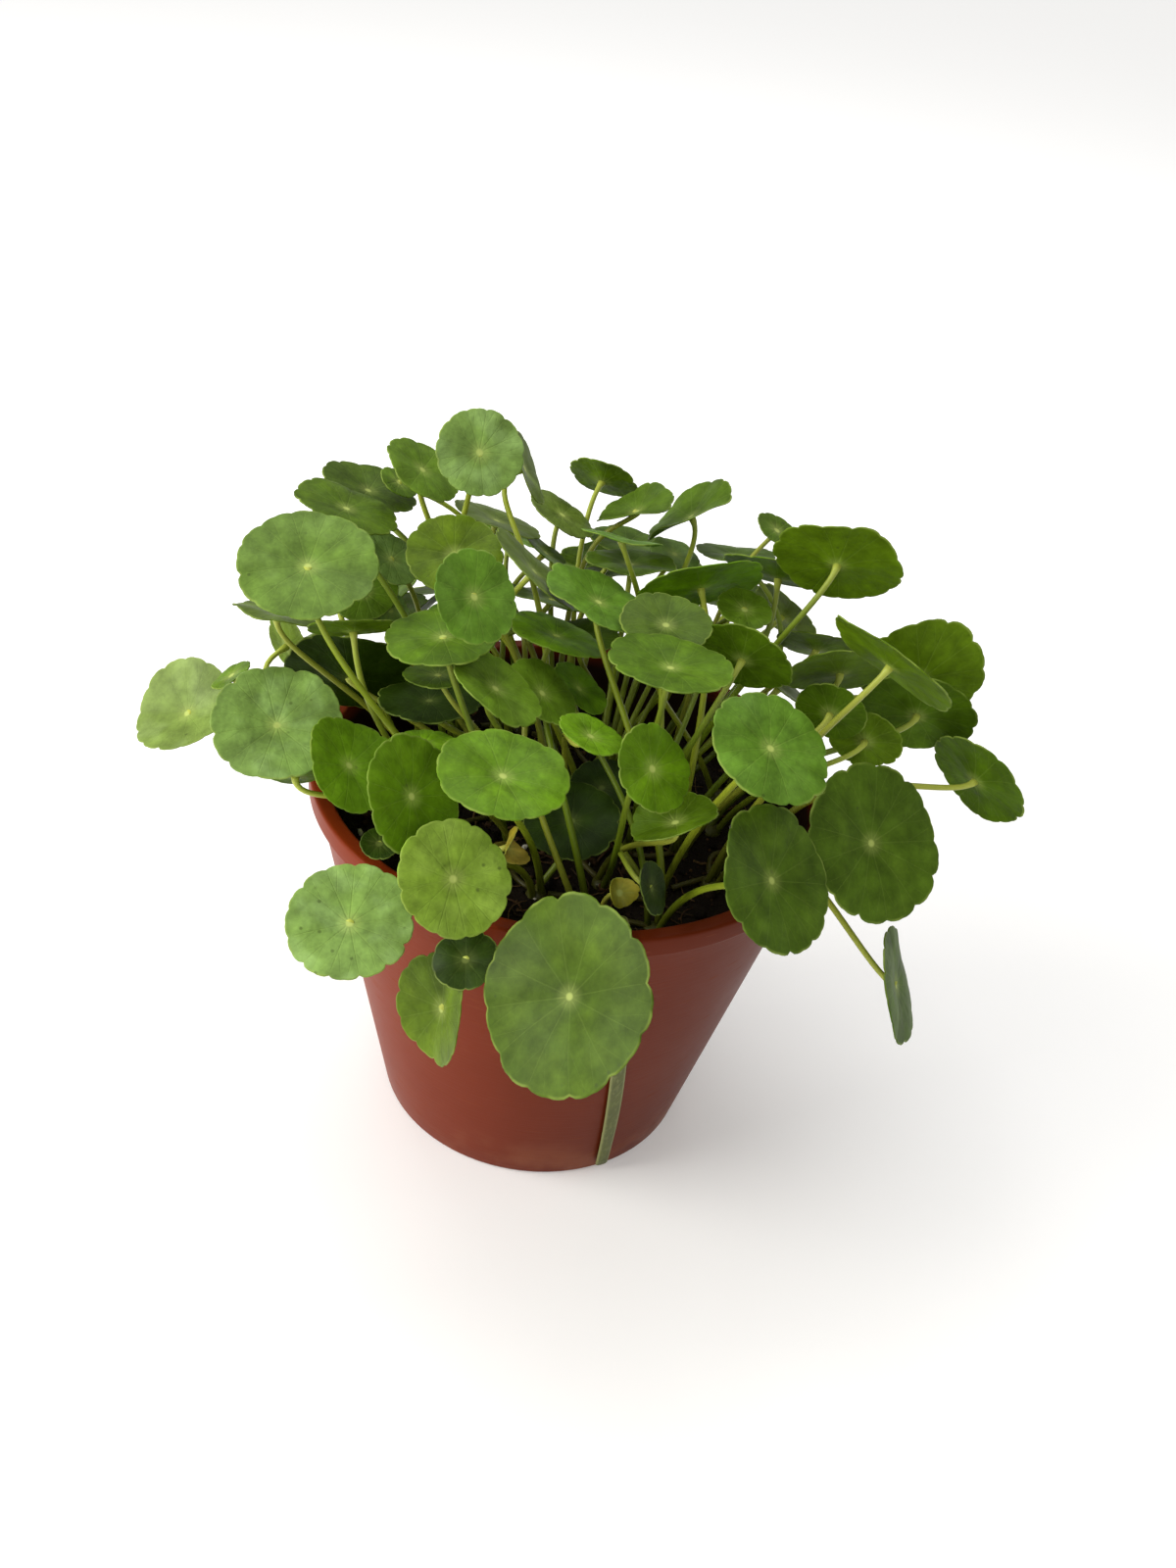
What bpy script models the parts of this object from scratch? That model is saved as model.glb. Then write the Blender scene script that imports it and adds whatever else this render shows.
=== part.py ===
"""A potted pennywort: round, scalloped leaves on long stalks, in a plastic nursery pot.

Lengths in the tables are millimetres and angles are degrees. Everything is turned into
metres when a mesh is made. The origin is the middle of the pot's flat underside, +Z is up
and -Y is the side that faces a person who looks at the front of the plant.
"""
import math
import random
from itertools import product

import bmesh
import bpy
import numpy as np
from mathutils.kdtree import KDTree

MM = 0.001
FULL_TURN = 2 * math.pi
GOLDEN_TURN = math.radians(137.5)

# Colours, as linear values
LEAF_GREEN = (0.10, 0.22, 0.02)
SPENT_GREEN = (0.30, 0.33, 0.16)
POT_COLOUR = (0.30, 0.075, 0.028)
SOIL_COLOUR = (0.020, 0.012, 0.008)

# Pot, a thin moulded tub with a thicker lip
POT_HEIGHT = 117
LIP_RADIUS = 75
LIP_DEPTH = 6
LIP_PROUD = 2.4
LIP_ROUND = 1
BASE_RADIUS = 48
BASE_ROUND = 1.5
WALL = 2.4
FLOOR = 2.5
POT_SIDES = 40
DRAIN_HOLES = 6
DRAIN_RADIUS = 4
DRAIN_CIRCLE = 31
DRAIN_SIDES = 8

# Soil, a plug that fills the tub to a little under the lip
SOIL_TOP = 99
SEAT_GAP = 0.35
SOIL_SIDES = 32
HOLE_DEPTH = 9
HOLE_RADIUS = 4.2
HOLE_SIDES = 6

# How far a drill reaches past the face that it opens
DRILL_SPARE = 5

# Crowns, the short knots at soil level that the leaf stalks grow from
CROWN_COUNT = 37
CROWN_SPREAD = 57
CROWN_RADIUS = 3.3
CROWN_SINK = 1.0
CROWN_SIDES = 5
CROWN_RINGS = ((-1.4, 0.62), (-0.2, 1.0), (0.7, 0.6))
CROWN_FOOT = -2.2
CROWN_ROOM = 3
CROWN_PULL = 0.55
ROOT_SPREAD = 1.5

# Stalks
STALK_RADIUS = 1.15
STALK_SIDES = 3
STALK_STEPS = 6
STALK_CLEARANCE = 3.2
BLADE_CLEARANCE = 2.2
LEAST_APPROACH = 0.45
TIP_CLEARANCE = 5.2
CHORD_POINTS = 5
FREE_END = 8
OPTION_BATCH = 12

# The ring round the pot's axis that a stalk may cross only above the lip
LIP_CLEARANCE = 3.0
WALL_REACH = 65.5

# Leaves past this reach, and less than this above the lip, need a stalk that arches over it
OVER_LIP_REACH = 66
OVER_LIP_RISE = 24

# Shapes that a stalk may try: how far it rises before it turns (a share of its span), how far
# it bows sideways, how far it leans out, how far it hooks under the blade, how far its top
# sways and how much it is lifted over the lip
RISES = (0.45, 0.65, 0.9)
BOWS = (0, 7, -7, 14, -14, 22, -22, 32, -32)
REACHES = (8, -6, 22)
HOOKS = (12, 20, 30)
SWAYS = (0, 8, -8)
LIFTS = (0, 8, 16, 26, 36)

# The old stalk that hangs down the front of the pot, and how far it drifts round it on the way
SPENT_BEARING = -75
SPENT_DRIFT = 16
SPENT_ROOT = 62
SPENT_WIDTH = 4.8
SPENT_THICKNESS = 1.3
SPENT_HOLE = 3.0
SPENT_HOLE_SIDES = 8
SPENT_SLACK = 0.3
SPENT_STEPS = 6
SPENT_DROP = 9
SPENT_STOP = 3

# Leaf blades
BLADE_THICKNESS = 0.8
NOTCH = 0.05
LOBE_POWER = 0.7
DISH = 0.10
DISH_SHARE = 0.4
CURL_POWER = 1.7
LARGE_BLADE = 17.5
MIDDLE_RING = 0.55

# Leaves that show from the front: x, y, z of the blade's middle, its radius, how far it
# leans from level, and the way it leans towards (0 is +X, 90 is +Y), then its curl
FLAT = (0.0, 0)
LEAVES = [
    # the crown of the canopy, from left to right
    (-37, 23, 200, 12, 60, 290, FLAT),
    (-25, 38, 191, 11, 60, 5, FLAT),
    (-53, 30, 190, 12, 30, 350, FLAT),
    (-61, 38, 181, 6, 30, 350, FLAT),
    (-69.5, 38, 178, 14, 15, 5, FLAT),
    (-70.5, 12, 184, 14, 15, 15, FLAT),
    (-32, 39, 174, 13, 20, 45, FLAT),
    (-14, 55, 171, 11, 25, 5, FLAT),
    (-4, 75, 175, 11, 50, 75, FLAT),
    (7, 50, 178, 12, 25, 170, (0.25, 80)),
    (23, 59, 175, 15, 40, 170, (0.25, 80)),
    (6, 70, 158, 13, 10, 55, FLAT),
    (8, 40, 166, 13, 10, 105, FLAT),
    (21, 60, 161, 8, 15, 335, FLAT),
    (39, 60, 164, 12, 15, 105, FLAT),
    (27.5, 20, 172.5, 18, 50, 115, FLAT),
    (50, 30, 174, 16, 38, 80, FLAT),
    (62, 6, 192, 17, 60, 80, FLAT),
    (49, 50, 178, 7, 25, 340, FLAT),
    # the right-hand side, where most leaves turn their undersides to the front
    (93.5, 16, 156, 17.5, 82, 85, (0.2, 30)),
    (76, -30, 184, 18, 45, 45, FLAT),
    (94, 9, 148, 16, 72, 80, FLAT),
    (112.5, -5, 138, 16, 65, 45, FLAT),
    (78, -55, 146, 20, 50, 305, FLAT),
    (52, -80, 149, 18, 45, 325, FLAT),
    (47, -60, 173, 16, 25, 315, FLAT),
    (21, -37, 178, 16, 5, 85, FLAT),
    (19, -13.5, 176.4, 12, 10, 270, FLAT),
    (41, 15, 169, 8, 15, 295, FLAT),
    (41, -10, 168, 14, 62, 70, FLAT),
    (68, 0, 163, 15, 52, 105, FLAT),
    (66, 35, 150, 12, 45, 85, FLAT),
    (67, -10, 155, 10, 75, 75, FLAT),
    (79, -5, 145, 10, 80, 75, FLAT),
    (92, -65, 110, 15, 65, 350, FLAT),
    # the middle
    (1, -3, 175, 15, 18, 5, FLAT),
    (-9, -3, 163, 14, 17, 40, FLAT),
    (-17, 5, 177, 15, 40, 20, FLAT),
    (-17, 42, 164, 8, 35, 20, FLAT),
    (-13, 30, 156, 13, 20, 70, FLAT),
    (-40, 7, 177, 13, 31, 270, FLAT),
    (-29, -34, 187, 12, 47, 315, FLAT),
    (-37, -30, 173, 15, 10, 190, FLAT),
    (-21, -40, 166, 13, 28, 0, FLAT),
    (-10, -23, 156, 11, 32, 350, FLAT),
    (4, -45, 159, 9, 16, 20, FLAT),
    (-1, -5, 148, 9, 32, 355, FLAT),
    (20, -65, 165, 11, 50, 320, FLAT),
    (27, -65, 151, 11, 22, 170, (0.3, 120)),
    (-15, -70, 161, 16, 12, 325, FLAT),
    (-36, -68, 149, 15, 53, 330, FLAT),
    (-55, -50, 143, 14, 37, 340, (0.25, 40)),
    (-38, -45, 149, 9, 8, 135, FLAT),
    # the left-hand side
    (-73, -24, 184, 18, 22, 283, FLAT),
    (-59, 20, 166, 9, 30, 330, FLAT),
    (-62, -18, 164, 12, 40, 110, FLAT),
    (-84, -10, 161, 12, 22, 75, FLAT),
    (-85, 10, 139, 10, 80, 50, FLAT),
    (-77, -38, 144, 17, 28, 283, FLAT),
    (-72, -38, 129, 10, 50, 100, FLAT),
    (-108, -16, 128.5, 15, 35, 230, (0.35, 40)),
    (-94, -20, 145, 6, 35, 180, FLAT),
    (-66, 0, 139, 18.5, 65, 100, FLAT),
    (-38, -25, 158, 9, 10, 120, FLAT),
    (-41, -15, 144, 14, 6, 135, FLAT),
    (-58, 17, 151, 6, 35, 315, FLAT),
    (-66, 17, 156, 10, 30, 275, FLAT),
    # leaves that lean out over the lip, and small ones low down among the stalks
    (6.8, -105.6, 126.3, 23.4, 55, 227, FLAT),
    (-47, -87, 123, 15.5, 25, 278, FLAT),
    (-23, -85, 139, 14, 50, 295, FLAT),
    (-23.4, -92, 103.4, 14, 75, 218, (0.3, 100)),
    (-18, -91, 120, 8, 30, 250, FLAT),
    (2, -32, 123, 13, 22, 260, FLAT),
    (-46, -55, 123, 5, 16, 273, FLAT),
    (25, -62, 127, 7, 59, 345, FLAT),
    (9, -6, 117, 10, 20, 255, FLAT),
    # two withered ones near the soil
    (17, -57, 120, 4, 50, 300, (0.9, 90)),
    (-13, -50, 124, 5, 65, 0, (0.9, 0)),
]

# Leaves round the back, placed by a seeded rule on the same low dome
BACK_LEAVES = 24
BACK_SEED = 7
BACK_TRIES = 6000
BACK_CLEARANCE = 3.5
BACK_SPACING = 7
BACK_BEGINS = 12
BACK_LOWEST = 106
BACK_LIP_REACH = 56
BACK_LIP_RISE = 23
BACK_BEARINGS = (-5, 185)
BACK_REACHES = (20, 116)
BACK_RADII = (9, 17)
BACK_DEPTHS = (3, 42)
BACK_LEANS = (12, 50, 75)
DOME_FOOT = 112
DOME_RISE = 78
DOME_RADIUS = 128


def lean_direction(lean, toward):
    """The way a blade's upper face looks."""
    tilt = math.radians(lean)
    way = math.radians(toward)
    return np.array([math.sin(tilt) * math.cos(way), math.sin(tilt) * math.sin(way), math.cos(tilt)])


class Leaf:
    """One leaf: where its blade is, how it is turned, and the small differences between leaves."""

    def __init__(self, number, x, y, z, radius, lean, toward, curl):
        self.number = number
        self.middle = np.array([x, y, z], float)
        self.radius = radius
        self.normal = lean_direction(lean, toward)
        way = math.radians(toward)
        self.across = np.array([-math.sin(way), math.cos(way), 0.0])
        self.uphill = np.cross(self.normal, self.across)
        self.curl = curl[0]
        self.curl_angle = math.radians(curl[1])
        draw = random.Random(number)
        self.lobes = 7 if radius < 9 else draw.choice([9, 10])
        self.turn = draw.uniform(0, FULL_TURN)
        self.wave = draw.uniform(0.01, 0.035)
        self.wave_turn = draw.uniform(0, FULL_TURN)
        self.droop = draw.uniform(-0.03, 0.07)
        self.oval = draw.uniform(0.0, 0.04)

    def edge(self, angle):
        """Distance from the middle to the scalloped edge."""
        lobe = abs(math.sin(self.lobes * (angle - self.turn) / 2)) ** LOBE_POWER
        uneven = 1 + self.oval * math.sin(2 * angle + self.wave_turn)
        return self.radius * uneven * (1 - NOTCH * (1 - lobe))

    def height(self, u, v):
        """How far the blade stands above its flat plane at a point of that plane."""
        away = math.hypot(u, v) / self.radius
        angle = math.atan2(v, u)
        dish = -DISH * math.exp(-(away / DISH_SHARE) ** 2)
        wave = self.wave * away ** 2 * math.sin(3 * angle + self.wave_turn)
        side = (v * math.cos(self.curl_angle) - u * math.sin(self.curl_angle)) / self.radius
        curled = self.curl * abs(side) ** CURL_POWER
        return self.radius * (dish - self.droop * away ** 2 + wave + curled)

    def point(self, u, v, lift=0.0):
        """A point of the blade in space."""
        rise = self.height(u, v) + lift
        return self.middle + u * self.across + v * self.uphill + rise * self.normal

    def ring(self, share, count, start):
        """Plane points of a ring, at a share of the way to the edge."""
        points = []
        for step in range(count):
            angle = start + step * FULL_TURN / count
            reach = share * self.edge(angle) if share == 1 else share * self.radius
            points.append((reach * math.cos(angle), reach * math.sin(angle)))
        return points

    def rough_points(self):
        """A few points over the blade, to test what is near it."""
        plane = [(0, 0)] + self.ring(0.5, 8, 0.2) + self.ring(0.999, 20, 0)
        return np.array([self.point(u, v) for u, v in plane])


class Canopy:
    """All blades together, to measure how near points come to them."""

    def __init__(self, leaves):
        self.middle = np.array([leaf.middle for leaf in leaves])
        self.across = np.array([leaf.across for leaf in leaves])
        self.uphill = np.array([leaf.uphill for leaf in leaves])
        self.normal = np.array([leaf.normal for leaf in leaves])
        self.radius = np.array([leaf.radius for leaf in leaves], float)
        self.curl = np.array([leaf.curl for leaf in leaves])
        self.curl_angle = np.array([leaf.curl_angle for leaf in leaves])
        self.wave = np.array([leaf.wave for leaf in leaves])
        self.wave_turn = np.array([leaf.wave_turn for leaf in leaves])
        self.droop = np.array([leaf.droop for leaf in leaves])

    def gaps(self, points):
        """Distance from each point (rows) to each blade (columns)."""
        offset = points[:, None, :] - self.middle[None]
        u = np.einsum("ijk,jk->ij", offset, self.across)
        v = np.einsum("ijk,jk->ij", offset, self.uphill)
        h = np.einsum("ijk,jk->ij", offset, self.normal)
        away = np.hypot(u, v) / self.radius
        inside = np.minimum(away, 1)
        scale = inside / np.maximum(away, 1e-6)
        side = scale * (v * np.cos(self.curl_angle) - u * np.sin(self.curl_angle)) / self.radius
        shape = -DISH * np.exp(-(inside / DISH_SHARE) ** 2) - self.droop * inside ** 2
        shape = shape + self.wave * inside ** 2 * np.sin(3 * np.arctan2(v, u) + self.wave_turn)
        shape = shape + self.curl * np.abs(side) ** CURL_POWER
        past = np.maximum(away - 1, 0) * self.radius
        return np.hypot(past, h - self.radius * shape)


def dome_height(reach):
    """Height of the canopy above the table at a distance from the pot's axis."""
    return DOME_FOOT + DOME_RISE * (1 - (reach / DOME_RADIUS) ** 2)


def back_leaf(draw, number):
    """One leaf drawn at random for the back half of the canopy."""
    bearing = draw.uniform(*BACK_BEARINGS)
    reach = draw.uniform(*BACK_REACHES)
    radius = draw.uniform(*BACK_RADII)
    level, slope, steepest = BACK_LEANS
    lean = min(steepest, level + slope * reach / DOME_RADIUS + draw.uniform(-15, 15))
    toward = bearing + draw.uniform(-50, 50)
    x = reach * math.cos(math.radians(bearing))
    y = reach * math.sin(math.radians(bearing))
    z = dome_height(reach) - draw.uniform(*BACK_DEPTHS)
    curl = (draw.choice([0.0, 0.0, 0.2]), draw.uniform(0, 180))
    return Leaf(number, x, y, z, radius, lean, toward, curl)


def grow_leaves():
    """Every leaf: those of the table, then the back of the plant."""
    leaves = [Leaf(number, *row) for number, row in enumerate(LEAVES)]
    draw = random.Random(BACK_SEED)
    wanted = len(leaves) + BACK_LEAVES
    middles = np.array([item.middle for item in leaves])
    edges = np.concatenate([item.rough_points() for item in leaves])
    for _ in range(BACK_TRIES):
        if len(leaves) == wanted:
            break
        leaf = back_leaf(draw, len(leaves))
        over_lip = np.hypot(*leaf.middle[:2]) > BACK_LIP_REACH
        lowest = BACK_LOWEST + (BACK_LIP_RISE if over_lip else 0.6 * leaf.radius)
        if leaf.middle[1] < BACK_BEGINS or leaf.middle[2] < lowest:
            continue
        if np.linalg.norm(middles - leaf.middle, axis=1).min() < BACK_SPACING:
            continue
        far = Canopy(leaves).gaps(leaf.rough_points()).min() > BACK_CLEARANCE
        if far and Canopy([leaf]).gaps(edges).min() > BACK_CLEARANCE:
            leaves.append(leaf)
            middles = np.array([item.middle for item in leaves])
            edges = np.concatenate([edges, leaf.rough_points()])
    return leaves


def place_crowns():
    """Crowns spread over the soil as seeds are on a sunflower head."""
    crowns = []
    for step in range(CROWN_COUNT):
        reach = CROWN_SPREAD * math.sqrt((step + 0.5) / CROWN_COUNT)
        angle = step * GOLDEN_TURN
        level = SOIL_TOP - CROWN_SINK
        crowns.append(np.array([reach * math.cos(angle), reach * math.sin(angle), level]))
    return crowns


def share_out(leaves, crowns):
    """Give each leaf the nearest crown that has room, the outermost leaves first."""
    room = [CROWN_ROOM] * len(crowns)
    owner = {}
    for leaf in sorted(leaves, key=lambda item: -math.hypot(item.middle[0], item.middle[1])):
        aim = leaf.middle[:2] * CROWN_PULL
        order = sorted(range(len(crowns)), key=lambda k: math.hypot(*(crowns[k][:2] - aim)))
        for crown in order:
            if room[crown] > 0:
                room[crown] -= 1
                owner[leaf.number] = crown
                break
    return owner


def place_roots(leaves, crowns, owner):
    """Start each stalk on its own side of its crown, in the order of the leaves round it."""
    roots = {}
    for crown_number, crown in enumerate(crowns):
        members = [leaf for leaf in leaves if owner[leaf.number] == crown_number]
        bearings = {}
        for leaf in members:
            offset = leaf.middle - crown
            bearings[leaf.number] = math.atan2(offset[1], offset[0])
        members.sort(key=lambda leaf: bearings[leaf.number])
        for place, leaf in enumerate(members):
            angle = bearings[members[0].number] + place * FULL_TURN / max(len(members), 2)
            spread = ROOT_SPREAD * np.array([math.cos(angle), math.sin(angle), 0.1 * place])
            roots[leaf.number] = crown + spread
    return roots


def bezier(start, out, back, end, count):
    """Points along a cubic curve."""
    t = np.linspace(0, 1, count)[:, None]
    return (start * (1 - t) ** 3 + out * 3 * t * (1 - t) ** 2
            + back * 3 * t ** 2 * (1 - t) + end * t ** 3)


def stalk_steps(leaf):
    """Straight lengths in a stalk; those that arch over the lip have more."""
    return STALK_STEPS if np.hypot(*leaf.middle[:2]) < LIP_RADIUS else STALK_STEPS + 2


def along_chords(knots):
    """Evenly spread points on the straight lengths between knots."""
    share = np.linspace(0, 1, CHORD_POINTS, endpoint=False)[:, None]
    pieces = [low + (high - low) * share for low, high in zip(knots[:-1], knots[1:])]
    return np.concatenate(pieces + [knots[-1:]])


def blocked(points):
    """True where a stalk would cut the lip, the wall or the soil."""
    if points[2 * CHORD_POINTS:, 2].min() < SOIL_TOP + 2:
        return True
    reach = np.hypot(points[:, 0], points[:, 1])
    low = points[:, 2] < POT_HEIGHT + LIP_CLEARANCE
    return bool(np.any(low & (reach > WALL_REACH) & (reach < LIP_RADIUS + LIP_CLEARANCE)))


def stalk_options(leaf, root):
    """Possible courses for a stalk, the plainest first."""
    span = np.linalg.norm(leaf.middle - root)
    out = leaf.middle - root
    out[2] = 0
    out /= max(np.linalg.norm(out), 1e-6)
    side = np.array([-out[1], out[0], 0])
    up = np.array([0, 0, 1.0])
    end = leaf.point(0, 0)
    far_out = np.hypot(*leaf.middle[:2]) > OVER_LIP_REACH
    lifts = LIFTS if far_out and leaf.middle[2] < POT_HEIGHT + OVER_LIP_RISE else LIFTS[:1]
    options = []
    for rise, bow, reach, hook, sway, lift in product(RISES, BOWS, REACHES, HOOKS, SWAYS, lifts):
        cost = abs(bow) + abs(sway) + abs(reach - REACHES[0]) / 2 + hook / 4 + lift / 2
        cost += 20 * abs(rise - RISES[0])
        first = root + up * (rise * span + lift) + side * bow + out * reach
        second = end - leaf.normal * hook + side * (sway + bow / 2) + up * lift
        approach = end - second
        if approach @ leaf.normal > LEAST_APPROACH * np.linalg.norm(approach):
            options.append((cost, first, second))
    options.sort(key=lambda item: item[0])
    return options, end


def spacing(tree, points):
    """Distance of each point to the nearest one in a search tree."""
    return np.array([tree.find(point)[2] for point in points])


def search_tree(points):
    """A search tree of points."""
    tree = KDTree(len(points))
    for number, point in enumerate(points):
        tree.insert(point, number)
    tree.balance()
    return tree


def choose_course(leaf, root, blades, stalks, tips):
    """The first option that is clear of everything, or else the clearest of all."""
    options, end = stalk_options(leaf, root)
    own = Canopy([leaf])
    count = stalk_steps(leaf) + 1
    best = (-99, bezier(root, options[0][1], options[0][2], end, count))
    for first_option in range(0, len(options), OPTION_BATCH):
        batch = options[first_option:first_option + OPTION_BATCH]
        tries = [bezier(root, first, second, end, count) for _, first, second in batch]
        tries = [(knots, along_chords(knots)) for knots in tries]
        tries = [(knots, course) for knots, course in tries if not blocked(course)
                 and own.gaps(course[:-FREE_END]).min() > BLADE_CLEARANCE]
        if not tries:
            continue
        slacks = blades.gaps(np.concatenate([course for _, course in tries])).min(axis=1)
        slacks = slacks.reshape(len(tries), -1).min(axis=1) - BLADE_CLEARANCE
        for slack, (knots, course) in zip(slacks, tries):
            if slack <= best[0]:
                continue
            slack = min(slack, spacing(tips, course).min() - TIP_CLEARANCE)
            if slack > best[0] and stalks:
                slack = min(slack, spacing(stalks, course).min() - STALK_CLEARANCE)
            if slack > best[0]:
                best = (min(slack, 0), knots)
            if slack >= 0:
                return best
    return best


def route_stalks(leaves, crowns, owner):
    """A course for every stalk that keeps clear of blades, of other tufts' stalks and of the pot."""
    courses = {}
    roots = place_roots(leaves, crowns, owner)
    for leaf in leaves:
        own = owner[leaf.number]
        blades = Canopy([other for other in leaves if other is not leaf])
        others = [along_chords(courses[n]) for n in courses if owner[n] != own]
        stalks = search_tree(np.concatenate(others)) if others else None
        tips = search_tree([crown for k, crown in enumerate(crowns) if k != own])
        slack, courses[leaf.number] = choose_course(leaf, roots[leaf.number], blades, stalks, tips)
        if slack < 0:
            print("tight stalk", leaf.number, leaf.middle, round(float(slack), 2))
            if leaf.number >= len(LEAVES):
                del courses[leaf.number]
    return courses


def stalk_axes(course):
    """Two directions across the stalk at each point, carried along without twist."""
    along = np.gradient(course, axis=0)
    along /= np.linalg.norm(along, axis=1)[:, None]
    first = np.cross(along[0], [1.0, 0.2, 0.0])
    first /= np.linalg.norm(first)
    axes = []
    for way in along:
        first = first - way * (first @ way)
        first /= np.linalg.norm(first)
        axes.append((first, np.cross(way, first)))
    return axes


def mesh_object(name, points, faces, colour, roughness):
    """An object of its own from points in millimetres."""
    mesh = bpy.data.meshes.new(name)
    mesh.from_pydata([tuple(float(c) * MM for c in point) for point in points], [], faces)
    mesh.validate()
    mesh.update()
    thing = bpy.data.objects.new(name, mesh)
    bpy.context.scene.collection.objects.link(thing)
    mesh.materials.append(finish(name.split("_")[0], colour, roughness))
    return thing


def finish(name, colour, roughness):
    """A plain material, made once for each kind of piece."""
    if name in bpy.data.materials:
        return bpy.data.materials[name]
    material = bpy.data.materials.new(name)
    material.use_nodes = True
    shader = material.node_tree.nodes["Principled BSDF"]
    shader.inputs["Base Color"].default_value = (*colour, 1)
    shader.inputs["Roughness"].default_value = roughness
    shader.inputs["Metallic"].default_value = 0
    return material


def ring_faces(inner, outer):
    """Triangles between two rings of (angle, point number), both counter-clockwise."""
    faces = []
    i = 0
    j = 0
    while i < len(inner) or j < len(outer):
        here = inner[i % len(inner)][1]
        rim = outer[j % len(outer)][1]
        turn_in = inner[(i + 1) % len(inner)][0] + (FULL_TURN if i + 1 >= len(inner) else 0)
        turn_out = outer[(j + 1) % len(outer)][0] + (FULL_TURN if j + 1 >= len(outer) else 0)
        if j < len(outer) and (i >= len(inner) or turn_out <= turn_in):
            faces.append((here, rim, outer[(j + 1) % len(outer)][1]))
            j += 1
        else:
            faces.append((here, rim, inner[(i + 1) % len(inner)][1]))
            i += 1
    return faces


def sorted_ring(plane, first):
    """A ring as (angle, point number), from the smallest angle up."""
    return sorted((math.atan2(v, u) % FULL_TURN, first + k) for k, (u, v) in enumerate(plane))


def leaf_solid(leaf, course):
    """Blade and stalk of one leaf as one closed skin."""
    steps = len(course) - 1
    axes = stalk_axes(course)
    points = []
    faces = []
    for spot, (one, two) in zip(course[:-1], axes[:-1]):
        for side in range(STALK_SIDES):
            angle = side * FULL_TURN / STALK_SIDES
            points.append(spot + STALK_RADIUS * (math.cos(angle) * one + math.sin(angle) * two))
    one, two = axes[-1]
    neck = []
    for side in range(STALK_SIDES):
        angle = side * FULL_TURN / STALK_SIDES
        way = STALK_RADIUS * (math.cos(angle) * one + math.sin(angle) * two)
        neck.append((way @ leaf.across, way @ leaf.uphill))
    rings = [neck]
    if leaf.radius >= LARGE_BLADE or leaf.curl:
        rings.append(leaf.ring(MIDDLE_RING, leaf.lobes, leaf.turn))
    rings.append(leaf.ring(1, 2 * leaf.lobes, leaf.turn))
    numbers = {}
    for face_name, lift in (("under", -BLADE_THICKNESS / 2), ("upper", BLADE_THICKNESS / 2)):
        for level, plane in enumerate(rings):
            numbers[face_name, level] = sorted_ring(plane, len(points))
            points.extend(leaf.point(u, v, lift) for u, v in plane)
    for level in range(len(rings) - 1):
        faces += ring_faces(numbers["upper", level], numbers["upper", level + 1])
        faces += [face[::-1] for face in ring_faces(numbers["under", level], numbers["under", level + 1])]
    last = len(rings) - 1
    upper = [n for _, n in numbers["upper", last]]
    under = [n for _, n in numbers["under", last]]
    for k in range(len(upper)):
        after = (k + 1) % len(upper)
        faces.append((under[k], under[after], upper[after]))
        faces.append((under[k], upper[after], upper[k]))
    faces.append(tuple(n for _, n in numbers["upper", 0]))
    for step in range(steps):
        low = step * STALK_SIDES
        high = low + STALK_SIDES
        for side in range(STALK_SIDES):
            after = (side + 1) % STALK_SIDES
            faces.append((low + side, low + after, high + after))
            faces.append((low + side, high + after, high + side))
    faces.append(tuple(range(STALK_SIDES))[::-1])
    return points, faces


def crown_solid(crown):
    """The short knot that a tuft's stalks grow from."""
    points = [crown + [0, 0, CROWN_FOOT * CROWN_RADIUS]]
    faces = []
    sides = CROWN_SIDES
    for level, width in CROWN_RINGS:
        for side in range(sides):
            angle = side * FULL_TURN / sides
            reach = CROWN_RADIUS * width
            points.append(crown + [reach * math.cos(angle), reach * math.sin(angle), CROWN_RADIUS * level])
    points.append(crown + [0, 0, CROWN_RADIUS])
    top = len(points) - 1
    for side in range(sides):
        after = (side + 1) % sides
        faces.append((0, 1 + after, 1 + side))
        for level in range(len(CROWN_RINGS) - 1):
            low = 1 + level * sides
            faces.append((low + side, low + after, low + sides + after, low + sides + side))
        faces.append((top, top - sides + side, top - sides + after))
    return points, faces


def spent_stalk_path():
    """A limp old stalk: out of the soil, over the lip and down the outside of the tub.

    Gives its points and, for each, the way that its width runs.
    """
    half = SPENT_THICKNESS / 2
    rest = half + SEAT_GAP + SPENT_SLACK
    over = POT_HEIGHT + rest
    beyond = LIP_RADIUS + rest
    steps = [(SPENT_ROOT, SOIL_TOP - 4), (SPENT_ROOT + 0.5, SOIL_TOP + 5), (SPENT_ROOT + 2.5, over - 4),
             (SPENT_ROOT + 6, over + 0.3), (LIP_RADIUS - 1.5, over + 0.4), (beyond - 0.4, POT_HEIGHT - 0.6),
             (beyond, POT_HEIGHT - LIP_DEPTH)]
    drifts = [0] * len(steps)
    top = POT_HEIGHT - LIP_DEPTH - SPENT_DROP
    low = half + SPENT_STOP
    for step in range(SPENT_STEPS):
        level = top + (low - top) * step / (SPENT_STEPS - 1)
        steps.append((wall_radius(level) + rest, level))
        drifts.append(SPENT_DRIFT * (step + 1) / SPENT_STEPS)
    angles = [math.radians(SPENT_BEARING + drift) for drift in drifts]
    points = [np.array([reach * math.cos(angle), reach * math.sin(angle), level])
              for (reach, level), angle in zip(steps, angles)]
    sides = [np.array([-math.sin(angle), math.cos(angle), 0]) for angle in angles]
    return points, sides


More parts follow.
